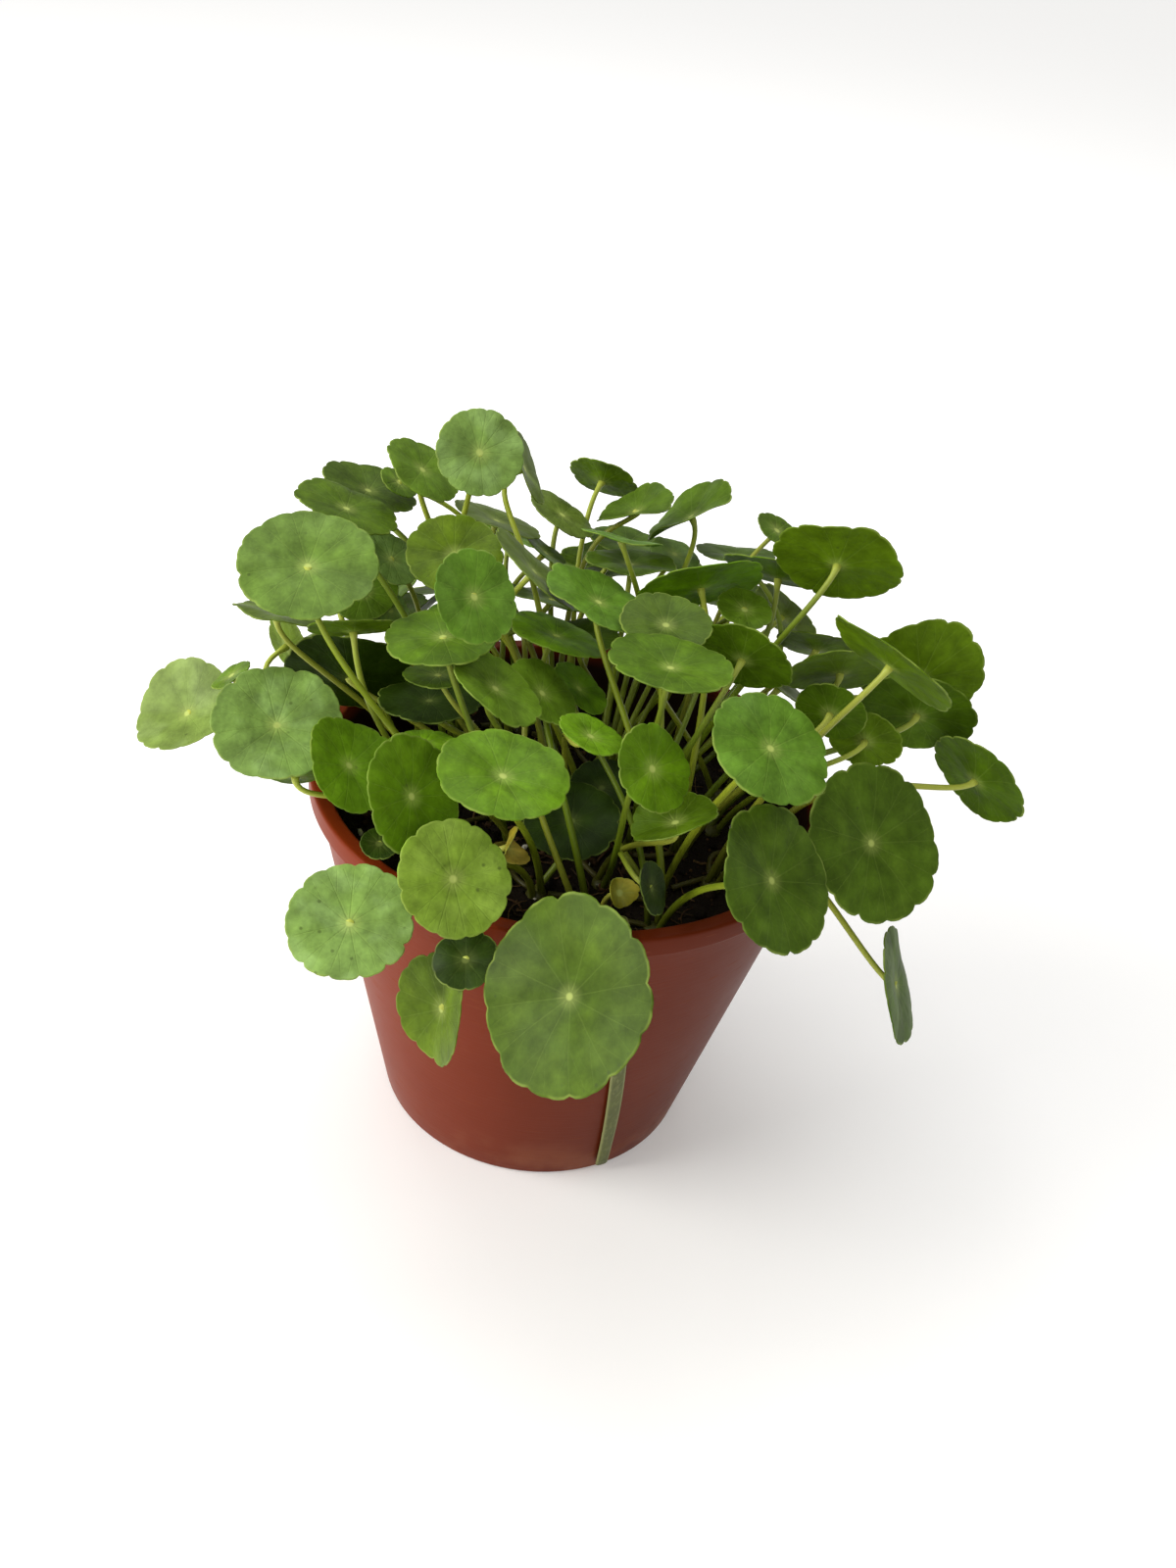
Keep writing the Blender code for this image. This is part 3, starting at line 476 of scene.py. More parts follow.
def dome_height(reach):
    """Height of the canopy above the table at a distance from the pot's axis."""
    return DOME_FOOT + DOME_RISE * (1 - (reach / DOME_RADIUS) ** 2)


def back_leaf(draw, number):
    """One leaf drawn at random for the back half of the canopy."""
    bearing = draw.uniform(*BACK_BEARINGS)
    reach = draw.uniform(*BACK_REACHES)
    radius = draw.uniform(*BACK_RADII)
    level, slope, steepest = BACK_LEANS
    lean = level + slope * reach / DOME_RADIUS + draw.uniform(-BACK_LEAN_SWING, BACK_LEAN_SWING)
    toward = bearing + draw.uniform(-BACK_TURN_SWING, BACK_TURN_SWING)
    x = reach * math.cos(math.radians(bearing))
    y = reach * math.sin(math.radians(bearing))
    z = dome_height(reach) - draw.uniform(*BACK_DEPTHS)
    curl = (draw.choice(BACK_CURLS), draw.uniform(0, 180))
    tones = HIGH_TONES if z > HIGH_FROM else LOW_SHADED_TONES
    tone = random.Random(number + BACK_TONE_SEED).choice(tones)
    return Leaf(number, x, y, z, radius, min(steepest, lean), toward, curl, tone)


def grow_back(leaves):
    """Add the leaves round the back to those of the table."""
    draw = random.Random(BACK_SEED)
    wanted = len(leaves) + BACK_LEAVES
    middles = np.array([item.middle for item in leaves])
    edges = np.concatenate([item.rough_points() for item in leaves])
    for _ in range(BACK_TRIES):
        if len(leaves) == wanted:
            break
        leaf = back_leaf(draw, len(leaves))
        over_lip = np.hypot(*leaf.middle[:2]) > BACK_LIP_REACH
        lowest = BACK_LOWEST + (BACK_LIP_RISE if over_lip else BACK_FOOT_SHARE * leaf.radius)
        if leaf.middle[1] < BACK_BEGINS or leaf.middle[2] < lowest:
            continue
        if np.linalg.norm(middles - leaf.middle, axis=1).min() < BACK_SPACING:
            continue
        far = Canopy(leaves).gaps(leaf.rough_points()).min() > BACK_CLEARANCE
        if far and Canopy([leaf]).gaps(edges).min() > BACK_CLEARANCE:
            leaves.append(leaf)
            middles = np.array([item.middle for item in leaves])
            edges = np.concatenate([edges, leaf.rough_points()])


grow_back(leaves)
print("leaves in all:", len(leaves))

# %% [markdown]
# The leaves grow from crowns, which sit in the soil like seeds on a sunflower head: each a golden
# angle further round than the last. Every leaf takes the nearest crown that has room, so a crown and
# its leaves make one tuft. The tufts are numbered in the order of their crowns, as in the fixed model.

# %% Crowns and tufts
GOLDEN_TURN = math.radians(137.5)
POT_HEIGHT = 117
LIP_RADIUS = 75
SOIL_TOP = 99
CROWN_COUNT = 37
CROWN_SPREAD = 57
CROWN_RADIUS = 3.3
CROWN_SINK = 1.0
CROWN_ROOM = 3
CROWN_PULL = 0.55
ROOT_SPREAD = 1.5
ROOT_RISE = 0.1


def place_crowns():
    """Crowns spread evenly over the soil."""
    crowns = []
    for step in range(CROWN_COUNT):
        reach = CROWN_SPREAD * math.sqrt((step + 0.5) / CROWN_COUNT)
        angle = step * GOLDEN_TURN
        level = SOIL_TOP - CROWN_SINK
        crowns.append(np.array([reach * math.cos(angle), reach * math.sin(angle), level]))
    return crowns


def share_out(leaves, crowns):
    """Give each leaf the nearest crown that has room, the outermost leaves first."""
    room = [CROWN_ROOM] * len(crowns)
    owner = {}
    for leaf in sorted(leaves, key=lambda item: -math.hypot(item.middle[0], item.middle[1])):
        aim = leaf.middle[:2] * CROWN_PULL
        order = sorted(range(len(crowns)), key=lambda k: math.hypot(*(crowns[k][:2] - aim)))
        for crown in order:
            if room[crown] > 0:
                room[crown] -= 1
                owner[leaf.number] = crown
                break
    return owner


def place_roots(leaves, crowns, owner):
    """Start each stalk on its own side of its crown, in the order of the leaves round it."""
    roots = {}
    for crown_number, crown in enumerate(crowns):
        members = [leaf for leaf in leaves if owner[leaf.number] == crown_number]
        bearings = {}
        for leaf in members:
            offset = leaf.middle - crown
            bearings[leaf.number] = math.atan2(offset[1], offset[0])
        members.sort(key=lambda leaf: bearings[leaf.number])
        for place, leaf in enumerate(members):
            angle = bearings[members[0].number] + place * FULL_TURN / max(len(members), 2)
            spread = ROOT_SPREAD * np.array([math.cos(angle), math.sin(angle), ROOT_RISE * place])
            roots[leaf.number] = crown + spread
    return roots


crowns = place_crowns()
owner = share_out(leaves, crowns)
print("crowns in use:", len(set(owner.values())))

# %% [markdown]
# A stalk has to find its way from its crown to the middle of its blade without passing through
# another blade, the lip of the pot or another tuft. Drawing a hundred of them by hand would take a
# day. Here each stalk is a curve with two handles, and a loop tries handles from plain to bent until
# one course is clear. The same rule with the same numbers shaped the fixed model's stalks.

# %% Courses of the stalks
STALK_STEPS = 6
LIP_STEPS = 2
STALK_CLEARANCE = 3.2
BLADE_CLEARANCE = 2.2
LEAST_APPROACH = 0.45
TIP_CLEARANCE = 5.2
CHORD_POINTS = 5
FREE_END = 8
OPTION_BATCH = 12
SOIL_CLEARANCE = 2
BURIED_LENGTHS = 2
LIP_CLEARANCE = 3.0
WALL_REACH = 65.5
OVER_LIP_REACH = 66
OVER_LIP_RISE = 24
RISES = (0.45, 0.65, 0.9)
BOWS = (0, 7, -7, 14, -14, 22, -22, 32, -32)
REACHES = (8, -6, 22)
HOOKS = (12, 20, 30)
SWAYS = (0, 8, -8)
LIFTS = (0, 8, 16, 26, 36)
RISE_COST = 20


def bezier(start, out, back, end, count):
    """Points along a cubic curve."""
    t = np.linspace(0, 1, count)[:, None]
    return (start * (1 - t) ** 3 + out * 3 * t * (1 - t) ** 2
            + back * 3 * t ** 2 * (1 - t) + end * t ** 3)


def stalk_steps(leaf):
    """Straight lengths in a solid's stalk; those that arch over the lip have more."""
    return STALK_STEPS if np.hypot(*leaf.middle[:2]) < LIP_RADIUS else STALK_STEPS + LIP_STEPS


def along_chords(knots):
    """Evenly spread points on the straight lengths between knots."""
    share = np.linspace(0, 1, CHORD_POINTS, endpoint=False)[:, None]
    pieces = [low + (high - low) * share for low, high in zip(knots[:-1], knots[1:])]
    return np.concatenate(pieces + [knots[-1:]])


def blocked(points):
    """True where a stalk would cut the lip, the wall or the soil."""
    if points[BURIED_LENGTHS * CHORD_POINTS:, 2].min() < SOIL_TOP + SOIL_CLEARANCE:
        return True
    reach = np.hypot(points[:, 0], points[:, 1])
    low = points[:, 2] < POT_HEIGHT + LIP_CLEARANCE
    return bool(np.any(low & (reach > WALL_REACH) & (reach < LIP_RADIUS + LIP_CLEARANCE)))


def stalk_options(leaf, root):
    """Handles that a stalk's curve may have, the plainest first, each with what it costs."""
    span = np.linalg.norm(leaf.middle - root)
    out = leaf.middle - root
    out[2] = 0
    out /= max(np.linalg.norm(out), TINY)
    side = np.array([-out[1], out[0], 0])
    up = np.array([0, 0, 1.0])
    end = leaf.middle + leaf.height(0.0, 0.0) * leaf.normal
    far_out = np.hypot(*leaf.middle[:2]) > OVER_LIP_REACH
    lifts = LIFTS if far_out and leaf.middle[2] < POT_HEIGHT + OVER_LIP_RISE else LIFTS[:1]
    options = []
    for rise, bow, reach, hook, sway, lift in product(RISES, BOWS, REACHES, HOOKS, SWAYS, lifts):
        cost = abs(bow) + abs(sway) + abs(reach - REACHES[0]) / 2 + hook / 4 + lift / 2
        cost += RISE_COST * abs(rise - RISES[0])
        first = root + up * (rise * span + lift) + side * bow + out * reach
        second = end - leaf.normal * hook + side * (sway + bow / 2) + up * lift
        approach = end - second
        if approach @ leaf.normal > LEAST_APPROACH * np.linalg.norm(approach):
            options.append((cost, (root, first, second, end)))
    options.sort(key=lambda item: item[0])
    return [handles for _, handles in options]


def spacing(tree, points):
    """Distance of each point to the nearest one in a search tree."""
    return np.array([tree.find(point)[2] for point in points])


def search_tree(points):
    """A search tree of points."""
    tree = KDTree(len(points))
    for number, point in enumerate(points):
        tree.insert(point, number)
    tree.balance()
    return tree


def choose_course(leaf, root, blades, stalks, tips):
    """The first option that is clear of everything, or else the clearest of all."""
    options = stalk_options(leaf, root)
    own = Canopy([leaf])
    count = stalk_steps(leaf) + 1
    best = (-math.inf, options[0])
    for first_option in range(0, len(options), OPTION_BATCH):
        batch = options[first_option:first_option + OPTION_BATCH]
        tries = [(handles, along_chords(bezier(*handles, count))) for handles in batch]
        tries = [(handles, course) for handles, course in tries if not blocked(course)
                 and own.gaps(course[:-FREE_END]).min() > BLADE_CLEARANCE]
        if not tries:
            continue
        slacks = blades.gaps(np.concatenate([course for _, course in tries])).min(axis=1)
        slacks = slacks.reshape(len(tries), -1).min(axis=1) - BLADE_CLEARANCE
        for slack, (handles, course) in zip(slacks, tries):
            if slack <= best[0]:
                continue
            slack = min(slack, spacing(tips, course).min() - TIP_CLEARANCE)
            if slack > best[0] and stalks:
                slack = min(slack, spacing(stalks, course).min() - STALK_CLEARANCE)
            if slack > best[0]:
                best = (min(slack, 0), handles)
            if slack >= 0:
                return best
    return best


def route_stalks(leaves, crowns, owner):
    """The handles of every stalk's curve, by leaf number."""
    found = {}
    chords = {}
    roots = place_roots(leaves, crowns, owner)
    for leaf in leaves:
        own = owner[leaf.number]
        blades = Canopy([other for other in leaves if other is not leaf])
        others = [chords[n] for n in chords if owner[n] != own]
        stalks = search_tree(np.concatenate(others)) if others else None
        tips = search_tree([crown for k, crown in enumerate(crowns) if k != own])
        slack, handles = choose_course(leaf, roots[leaf.number], blades, stalks, tips)
        if slack >= 0 or leaf.number < len(LEAVES):
            found[leaf.number] = handles
            chords[leaf.number] = along_chords(bezier(*handles, stalk_steps(leaf) + 1))
    return found


handles_of = route_stalks(leaves, crowns, owner)
leaves = [leaf for leaf in leaves if leaf.number in handles_of]
tuft_crowns = sorted({owner[leaf.number] for leaf in leaves})
tuft_names = {crown: f"tuft_{place + 1:02d}" for place, crown in enumerate(tuft_crowns)}
print("stalks:", len(handles_of), "tufts:", len(tuft_names))

# %% [markdown]
# Blades, stalks, crumbs and runners are all the same kind of job: a great many small shapes that end
# up in one mesh, with a value or two at each point for the shader to read. The Skin below gathers
# them. A closed grid, which is a row of rings joined to each other and capped at both ends, makes
# nearly all of them.

# %% A skin that gathers many small shapes
class Skin:
    """Points, faces and surface values of many small shapes that become one mesh."""

    def __init__(self, *value_names):
        self.points = []
        self.faces = []
        self.corners = []
        self.tones = []
        self.values = {name: [] for name in value_names}
        self.count = 0

    def add(self, points, faces, corners, tone, **values):
        """Add a shape. Values are one number, or one for each point."""
        self.faces += [tuple(n + self.count for n in face) for face in faces]
        self.corners += corners
        self.points.append(np.asarray(points, float))
        self.tones.append(np.broadcast_to(np.array([*tone, 1.0]), (len(points), 4)))
        for name, value in values.items():
            self.values[name].append(np.broadcast_to(value, len(points)))
        self.count += len(points)

    def make(self, name, material):
        """The finished mesh as an object, smooth all over."""
        mesh = bpy.data.meshes.new(name)
        mesh.from_pydata((np.concatenate(self.points) * MM).tolist(), [], self.faces)
        tone = mesh.color_attributes.new("tone", "FLOAT_COLOR", "POINT")
        tone.data.foreach_set("color", np.concatenate(self.tones).astype(np.float32).ravel())
        for value_name, parts in self.values.items():
            attribute = mesh.attributes.new(value_name, "FLOAT", "POINT")
            attribute.data.foreach_set("value", np.concatenate(parts).astype(np.float32))
        grid = mesh.uv_layers.new(name="grid")
        grid.uv.foreach_set("vector", np.array(self.corners, np.float32).ravel())
        mesh.shade_smooth()
        mesh.materials.append(material)
        piece = bpy.data.objects.new(name, mesh)
        bpy.context.scene.collection.objects.link(piece)
        return piece


def ring_grid(rows, marks, levels):
    """Faces and face corners of rings joined in order; marks and levels are the corners' values."""
    columns = len(marks) - 1
    faces = []
    corners = []
    for row in range(rows - 1):
        low = row * columns
        for column in range(columns):
            after = (column + 1) % columns
            faces.append((low + column, low + after, low + columns + after, low + columns + column))
            here = marks[column]
            there = marks[column + 1]
            corners += [(here, levels[row]), (there, levels[row]),
                        (there, levels[row + 1]), (here, levels[row + 1])]
    return faces, corners


def fan(tip, start, marks, tip_level, ring_level, outward):
    """Triangles from one point to the ring of points that begins at start."""
    columns = len(marks) - 1
    faces = []
    corners = []
    for column in range(columns):
        face = (tip, start + column, start + (column + 1) % columns)
        middle = (marks[column] + marks[column + 1]) / 2
        values = [(middle, tip_level), (marks[column], ring_level), (marks[column + 1], ring_level)]
        faces.append(face if outward else face[::-1])
        corners += values if outward else values[::-1]
    return faces, corners


def closed_grid(rows, marks, levels, ends=((0, 0), (0, 0))):
    """Rings joined and capped by two last points; ends are the levels of each cap's tip and ring."""
    columns = len(marks) - 1
    count = rows * columns
    faces, corners = ring_grid(rows, marks, levels)
    caps = ((count, 0, False), (count + 1, count - columns, True))
    for (tip, start, outward), (tip_level, ring_level) in zip(caps, ends):
        more, more_corners = fan(tip, start, marks, tip_level, ring_level, outward)
        faces += more
        corners += more_corners
    return faces, corners


def even_marks(sides):
    """The share of the way round at each side of a ring, from 0 to 1."""
    return [side / sides for side in range(sides + 1)]


print("a ring of 8 with 3 rows has", len(ring_grid(3, even_marks(8), range(3))[0]), "faces")

# %% [markdown]
# A blade is about half a millimetre thick. Its veins run from the middle to the notches, and each
# lies in a shallow crease, so the surface between two veins swells a little. Creases could be left
# to a bump texture, but at this size they bend the outline and the shading, so they are real here.
# The rim is rounded, and each scallop has a smaller dent in it. Three values go to the shader: how
# far out a point is, whether it is on the upper face, and a wave round the blade that paints broad
# lighter and darker rays, the painted light and shade of soft pleats. The corners of the faces
# carry the place between two veins and the distance from the middle, which the vein pattern needs.

# %% Blade of a leaf
PER_LOBE = 8
BLADE_RINGS = np.array([0.05, 0.12, 0.2, 0.3, 0.41, 0.52, 0.63, 0.73, 0.82, 0.89, 0.945, 0.98, 1.0])
RIM_THICKNESS = 0.36
MIDDLE_EXTRA = 0.35
MIDDLE_SPREAD = 3.0
RIM_ROUND = 0.14
RIM_BEGINS = 0.45
RIM_GROWS = 0.55
SMALL_DENT = 0.010
DENT_SHARE = 0.09
LOBE_UNEVEN = 0.016
DEEPER_NOTCH = 0.035
NOTCH_SHARE = 0.09
CREASE_DEPTH = 0.07
CREASE_WIDTH = 1.5
CREASE_BEGINS = 0.1
CREASE_GROWS = 0.35
RIPPLE = 0.045
RIPPLE_WAVES = 3
RIPPLE_SIZES = (0.3, 1)
RIPPLE_COUNTS = (2, 4, 5)
TONE_UNEVEN = 0.07
# painted light and shade of soft pleats: how many waves go round the blade, and how far out they grow full
PLEAT_SHADE_WAVES = (2, 3, 5)
PLEAT_SHADE_GROW = 0.3
EDGE_SEED = 900
RIPPLE_SEED = 1300
TONE_SEED = 1700
PLEAT_SHADE_SEED = 2100


def blade_edge(leaf, lobe, angle):
    """The rim of the fine blade: the solid's scallops, each of its own size and with a small dent."""
    draw = random.Random(leaf.number + EDGE_SEED)
    sizes = np.array([draw.uniform(-LOBE_UNEVEN, LOBE_UNEVEN) for _ in range(leaf.lobes)])
    cuts = np.array([DEEPER_NOTCH * draw.random() ** 2 for _ in range(leaf.lobes)])
    part = lobe % 1
    own = sizes[lobe.astype(int) % leaf.lobes] * np.sin(math.pi * part)
    dent = SMALL_DENT * np.exp(-((part - 0.5) / DENT_SHARE) ** 2)
    to_notch = np.abs(lobe - np.round(lobe))
    cut = cuts[np.round(lobe).astype(int) % leaf.lobes] * np.exp(-(to_notch / NOTCH_SHARE) ** 2)
    return leaf.edge(angle) + leaf.radius * (own - dent - cut)


def blade_relief(leaf, lobe, share, reach):
    """What the creases and a fine ripple add to the blade's height."""
    part = np.abs((lobe + 0.5) % 1 - 0.5)
    beside = part * FULL_TURN / leaf.lobes * reach
    fade = np.clip((share - CREASE_BEGINS) / CREASE_GROWS, 0, 1)
    crease = -CREASE_DEPTH * np.exp(-(beside / CREASE_WIDTH) ** 2) * fade
    draw = random.Random(leaf.number + RIPPLE_SEED)
    ripple = 0
    for _ in range(RIPPLE_WAVES):
        size = draw.uniform(*RIPPLE_SIZES)
        count = draw.choice(RIPPLE_COUNTS)
        ripple = ripple + size * np.sin(count * FULL_TURN * lobe / leaf.lobes + draw.uniform(0, FULL_TURN))
    return crease + RIPPLE * leaf.radius * ripple * share ** 2 / 2


def blade_pleat_shade(leaf, angle, share):
    """Painted light and shade of soft pleats: broad rays from the middle, 1 lighter and 0 darker."""
    draw = random.Random(leaf.number + PLEAT_SHADE_SEED)
    turns = [draw.uniform(0, FULL_TURN) for _ in PLEAT_SHADE_WAVES]
    rays = sum(np.sin(count * angle + turn) for count, turn in zip(PLEAT_SHADE_WAVES, turns)) / len(PLEAT_SHADE_WAVES)
    return 0.5 + 0.5 * rays * np.clip(share / PLEAT_SHADE_GROW, 0, 1)


def leaf_tone(leaf):
    """The leaf's green, a little lighter or darker than its tone."""
    draw = random.Random(leaf.number + TONE_SEED)
    shade = draw.uniform(1 - TONE_UNEVEN, 1 + TONE_UNEVEN)
    return [shade * value for value in TONES[leaf.tone]]


def add_blade(skin, leaf):
    """One blade: upper face, rounded rim and under face."""
    columns = leaf.lobes * PER_LOBE
    lobe = np.arange(columns) / PER_LOBE
    angle = leaf.turn + FULL_TURN * lobe / leaf.lobes
    edge = blade_edge(leaf, lobe, angle)
    blend = np.clip((BLADE_RINGS - RIM_BEGINS) / RIM_GROWS, 0, 1)[:, None] ** 2
    reach = BLADE_RINGS[:, None] * (leaf.radius * (1 - blend) + edge * blend)
    share = np.repeat(BLADE_RINGS[:, None], columns, axis=1)
    u = (reach * np.cos(angle)).ravel()
    v = (reach * np.sin(angle)).ravel()
    relief = blade_relief(leaf, np.tile(lobe, len(BLADE_RINGS)), share.ravel(), reach.ravel())
    rise = leaf.height(u, v) + relief
    half = (RIM_THICKNESS + MIDDLE_EXTRA * np.exp(-(reach.ravel() / MIDDLE_SPREAD) ** 2)) / 2
    centre = leaf.height(0.0, 0.0)
    half_centre = (RIM_THICKNESS + MIDDLE_EXTRA) / 2
    out = 1 + RIM_ROUND / edge
    rings = len(BLADE_RINGS)
    under = leaf.place(u, v, rise - half)
    upper = leaf.place(u, v, rise + half).reshape(rings, columns, 3)[::-1].reshape(-1, 3)
    rim = leaf.place(u[-columns:] * out, v[-columns:] * out, rise[-columns:])
    tips = leaf.place([0, 0], [0, 0], [centre - half_centre, centre + half_centre])
    marks = [column / PER_LOBE for column in range(columns + 1)]
    levels = [*(BLADE_RINGS * leaf.radius), leaf.radius, *(BLADE_RINGS[::-1] * leaf.radius)]
    rows = 2 * rings + 1
    faces, corners = closed_grid(rows, marks, levels, ends=((0, levels[0]), (0, levels[0])))
    outness = np.concatenate([share.ravel(), np.ones(columns), share[::-1].ravel(), [0, 0]])
    pleats = blade_pleat_shade(leaf, np.concatenate([np.tile(angle, rows), [0, 0]]), outness)
    side = np.concatenate([np.zeros(u.size), np.full(columns, 0.5), np.ones(u.size), [0, 1]])
    points = np.concatenate([under, rim, upper, tips])
    skin.add(points, faces, corners, leaf_tone(leaf), out=outness, upper=side, pleats=pleats)


blade_triangles = 2 * LARGE_LOBES[0] * PER_LOBE * (2 * len(BLADE_RINGS) + 1)
print("a blade of", LARGE_LOBES[0], "lobes has", blade_triangles, "triangles")

# %% [markdown]
# A stalk is a smooth round tube on its curve. It is thickest at the crown, thins towards the blade
# and widens again into a small joint just under it. A tube swept by Blender's curve tool would do
# as well, but a ring at each step lets the shader know how far up the stalk it is, which is how a
# green stalk gets painted shade at its foot and is pale near its top.

# %% Stalks
STALK_SIDES = 8
STALK_RINGS = 26
STALK_FOOT = 1.05
STALK_TOP = 0.8
JOINT_RADIUS = 1.25
JOINT_LENGTH = 1.8
STALK_LEAST = 0.72
STALK_GROWTH = 50
PALE_LENGTH = 9
STALK_ACROSS = (1.0, 0.2, 0.0)
STALK_SEED = 2100
STALK_TONES = (srgb(122, 138, 26), srgb(98, 118, 20), srgb(142, 154, 36), srgb(132, 138, 40))


def stalk_axes(course):
    """Two directions across a tube at each point, carried along without twist."""
    along = np.gradient(course, axis=0)
    along /= np.linalg.norm(along, axis=1)[:, None]
    first = np.cross(along[0], STALK_ACROSS)
    first /= np.linalg.norm(first)
    axes = []
    for way in along:
        first = first - way * (first @ way)
        first /= np.linalg.norm(first)
        axes.append((first, np.cross(way, first)))
    return axes


def add_tube(skin, course, radii, sides, tone, **values):
    """A capped round tube along a course, with a radius and values at each of its points."""
    angle = ring_turns(sides)
    rings = [spot + radius * (np.outer(np.cos(angle), one) + np.outer(np.sin(angle), two))
             for spot, radius, (one, two) in zip(course, radii, stalk_axes(course))]
    levels = np.linspace(0, 1, len(course))
    faces, corners = closed_grid(len(course), even_marks(sides), levels, ends=((0, 0), (1, 1)))
    points = np.concatenate([*rings, course[:1], course[-1:]])
    spread = {}
    for name, value in values.items():
        value = np.broadcast_to(value, len(course))
        spread[name] = np.concatenate([np.repeat(value, sides), value[:1], value[-1:]])
    skin.add(points, faces, corners, tone, **spread)


def add_stalk(skin, leaf):
    """The stalk of one leaf, from its crown to just under the blade."""
    course = bezier(*handles_of[leaf.number], STALK_RINGS)
    length = np.linalg.norm(np.diff(course, axis=0), axis=1)
    run = np.concatenate([[0], np.cumsum(length)])
    left = run[-1] - run
    size = min(1.0, STALK_LEAST + leaf.radius / STALK_GROWTH)
    radii = size * (STALK_FOOT + (STALK_TOP - STALK_FOOT) * run / run[-1])
    radii = radii + (JOINT_RADIUS * size - radii) * np.exp(-(left / JOINT_LENGTH) ** 2)
    tone = random.Random(leaf.number + STALK_SEED).choice(STALK_TONES)
    if leaf.tone.startswith("withered"):
        tone = TONES[leaf.tone]
    pale = np.exp(-left / PALE_LENGTH)
    add_tube(skin, course, radii, STALK_SIDES, tone, along=run / run[-1], top=pale)


print("a stalk has", 2 * STALK_SIDES * STALK_RINGS, "triangles")

# %% [markdown]
# Each crown is a small lumpy knot. Thin runners, the creeping stems that join one crown to another,
# lie half sunk in the soil. They could be left out, but they are what the eye finds in the gaps
# between the leaves.

# %% Crowns and runners
CROWN_RINGS = 9
CROWN_SIDES = 14
CROWN_LUMP = 0.22
CROWN_LUMPS = 2.2
CROWN_POLE = 0.47 * math.pi
CROWN_TONE = srgb(96, 92, 44)
RUNNER_STEP = 8
RUNNER_RADIUS = 0.85
RUNNER_SIDES = 6
RUNNER_RINGS = 12
RUNNER_ENDS = (0.12, 0.88)
RUNNER_BEND = 6
RUNNER_RISE = 0.5
RUNNER_ARCH = 1.1
RUNNER_ARCHES = (0.2, 1.3)
RUNNER_TONE = srgb(104, 84, 48)
RUNNER_SEED = 3100


def add_crown(skin, crown):
    """A knot at soil level."""
    rows = []
    for tilt in np.linspace(-CROWN_POLE, CROWN_POLE, CROWN_RINGS):
        for turn in ring_turns(CROWN_SIDES):
            reach = math.cos(tilt)
            way = Vector((reach * math.cos(turn), reach * math.sin(turn), math.sin(tilt)))
            lump = 1 + CROWN_LUMP * noise.noise(CROWN_LUMPS * way + Vector(crown))
            rows.append(crown + CROWN_RADIUS * lump * np.array(way))
    levels = np.linspace(0, 1, CROWN_RINGS)
    middles = ((0.5, 0.5), (0.5, 0.5))
    faces, corners = closed_grid(CROWN_RINGS, even_marks(CROWN_SIDES), levels, ends=middles)
    points = np.array([*rows, crown - [0, 0, CROWN_RADIUS], crown + [0, 0, CROWN_RADIUS]])
    skin.add(points, faces, corners, CROWN_TONE, along=0, top=0)


def add_runner(skin, start, end, number):
    """A creeping stem from one crown to another, half in the soil."""
    draw = random.Random(number + RUNNER_SEED)
    bend = np.array([*(draw.uniform(-RUNNER_BEND, RUNNER_BEND) for _ in range(2)), 0])
    share = np.linspace(*RUNNER_ENDS, RUNNER_RINGS)[:, None]
    course = start + (end - start) * share + bend * np.sin(math.pi * share)
    arch = RUNNER_ARCH * np.sin(math.pi * share[:, 0]) * draw.uniform(*RUNNER_ARCHES)
    course[:, 2] = SOIL_TOP + RUNNER_RISE + arch
    radii = np.full(RUNNER_RINGS, RUNNER_RADIUS)
    add_tube(skin, course, radii, RUNNER_SIDES, RUNNER_TONE, along=0, top=0)


runner_starts = [crown for crown in tuft_crowns if crown + RUNNER_STEP in tuft_names]
print("runners:", len(runner_starts))

# %% [markdown]
# The soil is a plug that fills the tub, with a rough top. The top is a disc of rings whose heights
# come from two sizes of noise. Loose crumbs, fibres and a few white perlite grains lie on it. Those
# can be one material with painted colour, since they are small and all matt.

# %% Soil
SOIL_WALL_REACH = 66.0
SOIL_FLOOR_REACH = 44.4
SOIL_FOOT = 3
SOIL_RINGS = 54
SOIL_SIDES = 150
SOIL_FIRST_SHARE = 0.0004
SOIL_WAVES = (
    # height, size across, slice of the noise
    (1.7, 9, 1.7),
    (0.7, 2.6, 5.1),
)
HOLLOW_BEGINS = 0.86
HOLLOW_DEPTH = 9
SOIL_TONE = srgb(26, 18, 10)
SOIL_SEED = 41
CRUMBS = 900
CRUMB_SIZES = (0.5, 2.3)
CRUMB_STRETCHES = ((0.7, 1.4), (0.7, 1.3), (0.5, 0.95))
CRUMB_TILT = 0.5
CRUMB_LUMP = 0.45
CRUMB_LUMPS = 1.3
CRUMB_RISE = 0.25
CRUMB_EDGE = 3
CRUMB_TONES = (srgb(24, 17, 10), srgb(36, 26, 15), srgb(54, 38, 22), srgb(20, 16, 11),
               srgb(74, 53, 32))
NOISE_SPAN = 50
FIBRES = 150
FIBRE_EDGE = 8
FIBRE_LENGTHS = (4, 13)
FIBRE_BEND = 2.5
FIBRE_RINGS = 6
FIBRE_SIDES = 5
FIBRE_RADII = (0.14, 0.42)
FIBRE_RISE = 0.3
FIBRE_LIFT = 0.5
FIBRE_TONES = (srgb(72, 52, 32), srgb(96, 74, 46), srgb(52, 40, 26))
PERLITE = 26
PERLITE_SIZES = (0.6, 1.25)
PERLITE_TONE = srgb(214, 208, 192)
SHOWN_PERLITE = ((37.6, -27.5), (-56.9, -21.0), (33.9, -23.9), (46.4, -14.0), (-12.3, -34.9),
                 (8.2, -18.6))
DRYNESS = {"plug": 0, "crumb": 0.4, "perlite": 1.0, "fibre": 0.6}


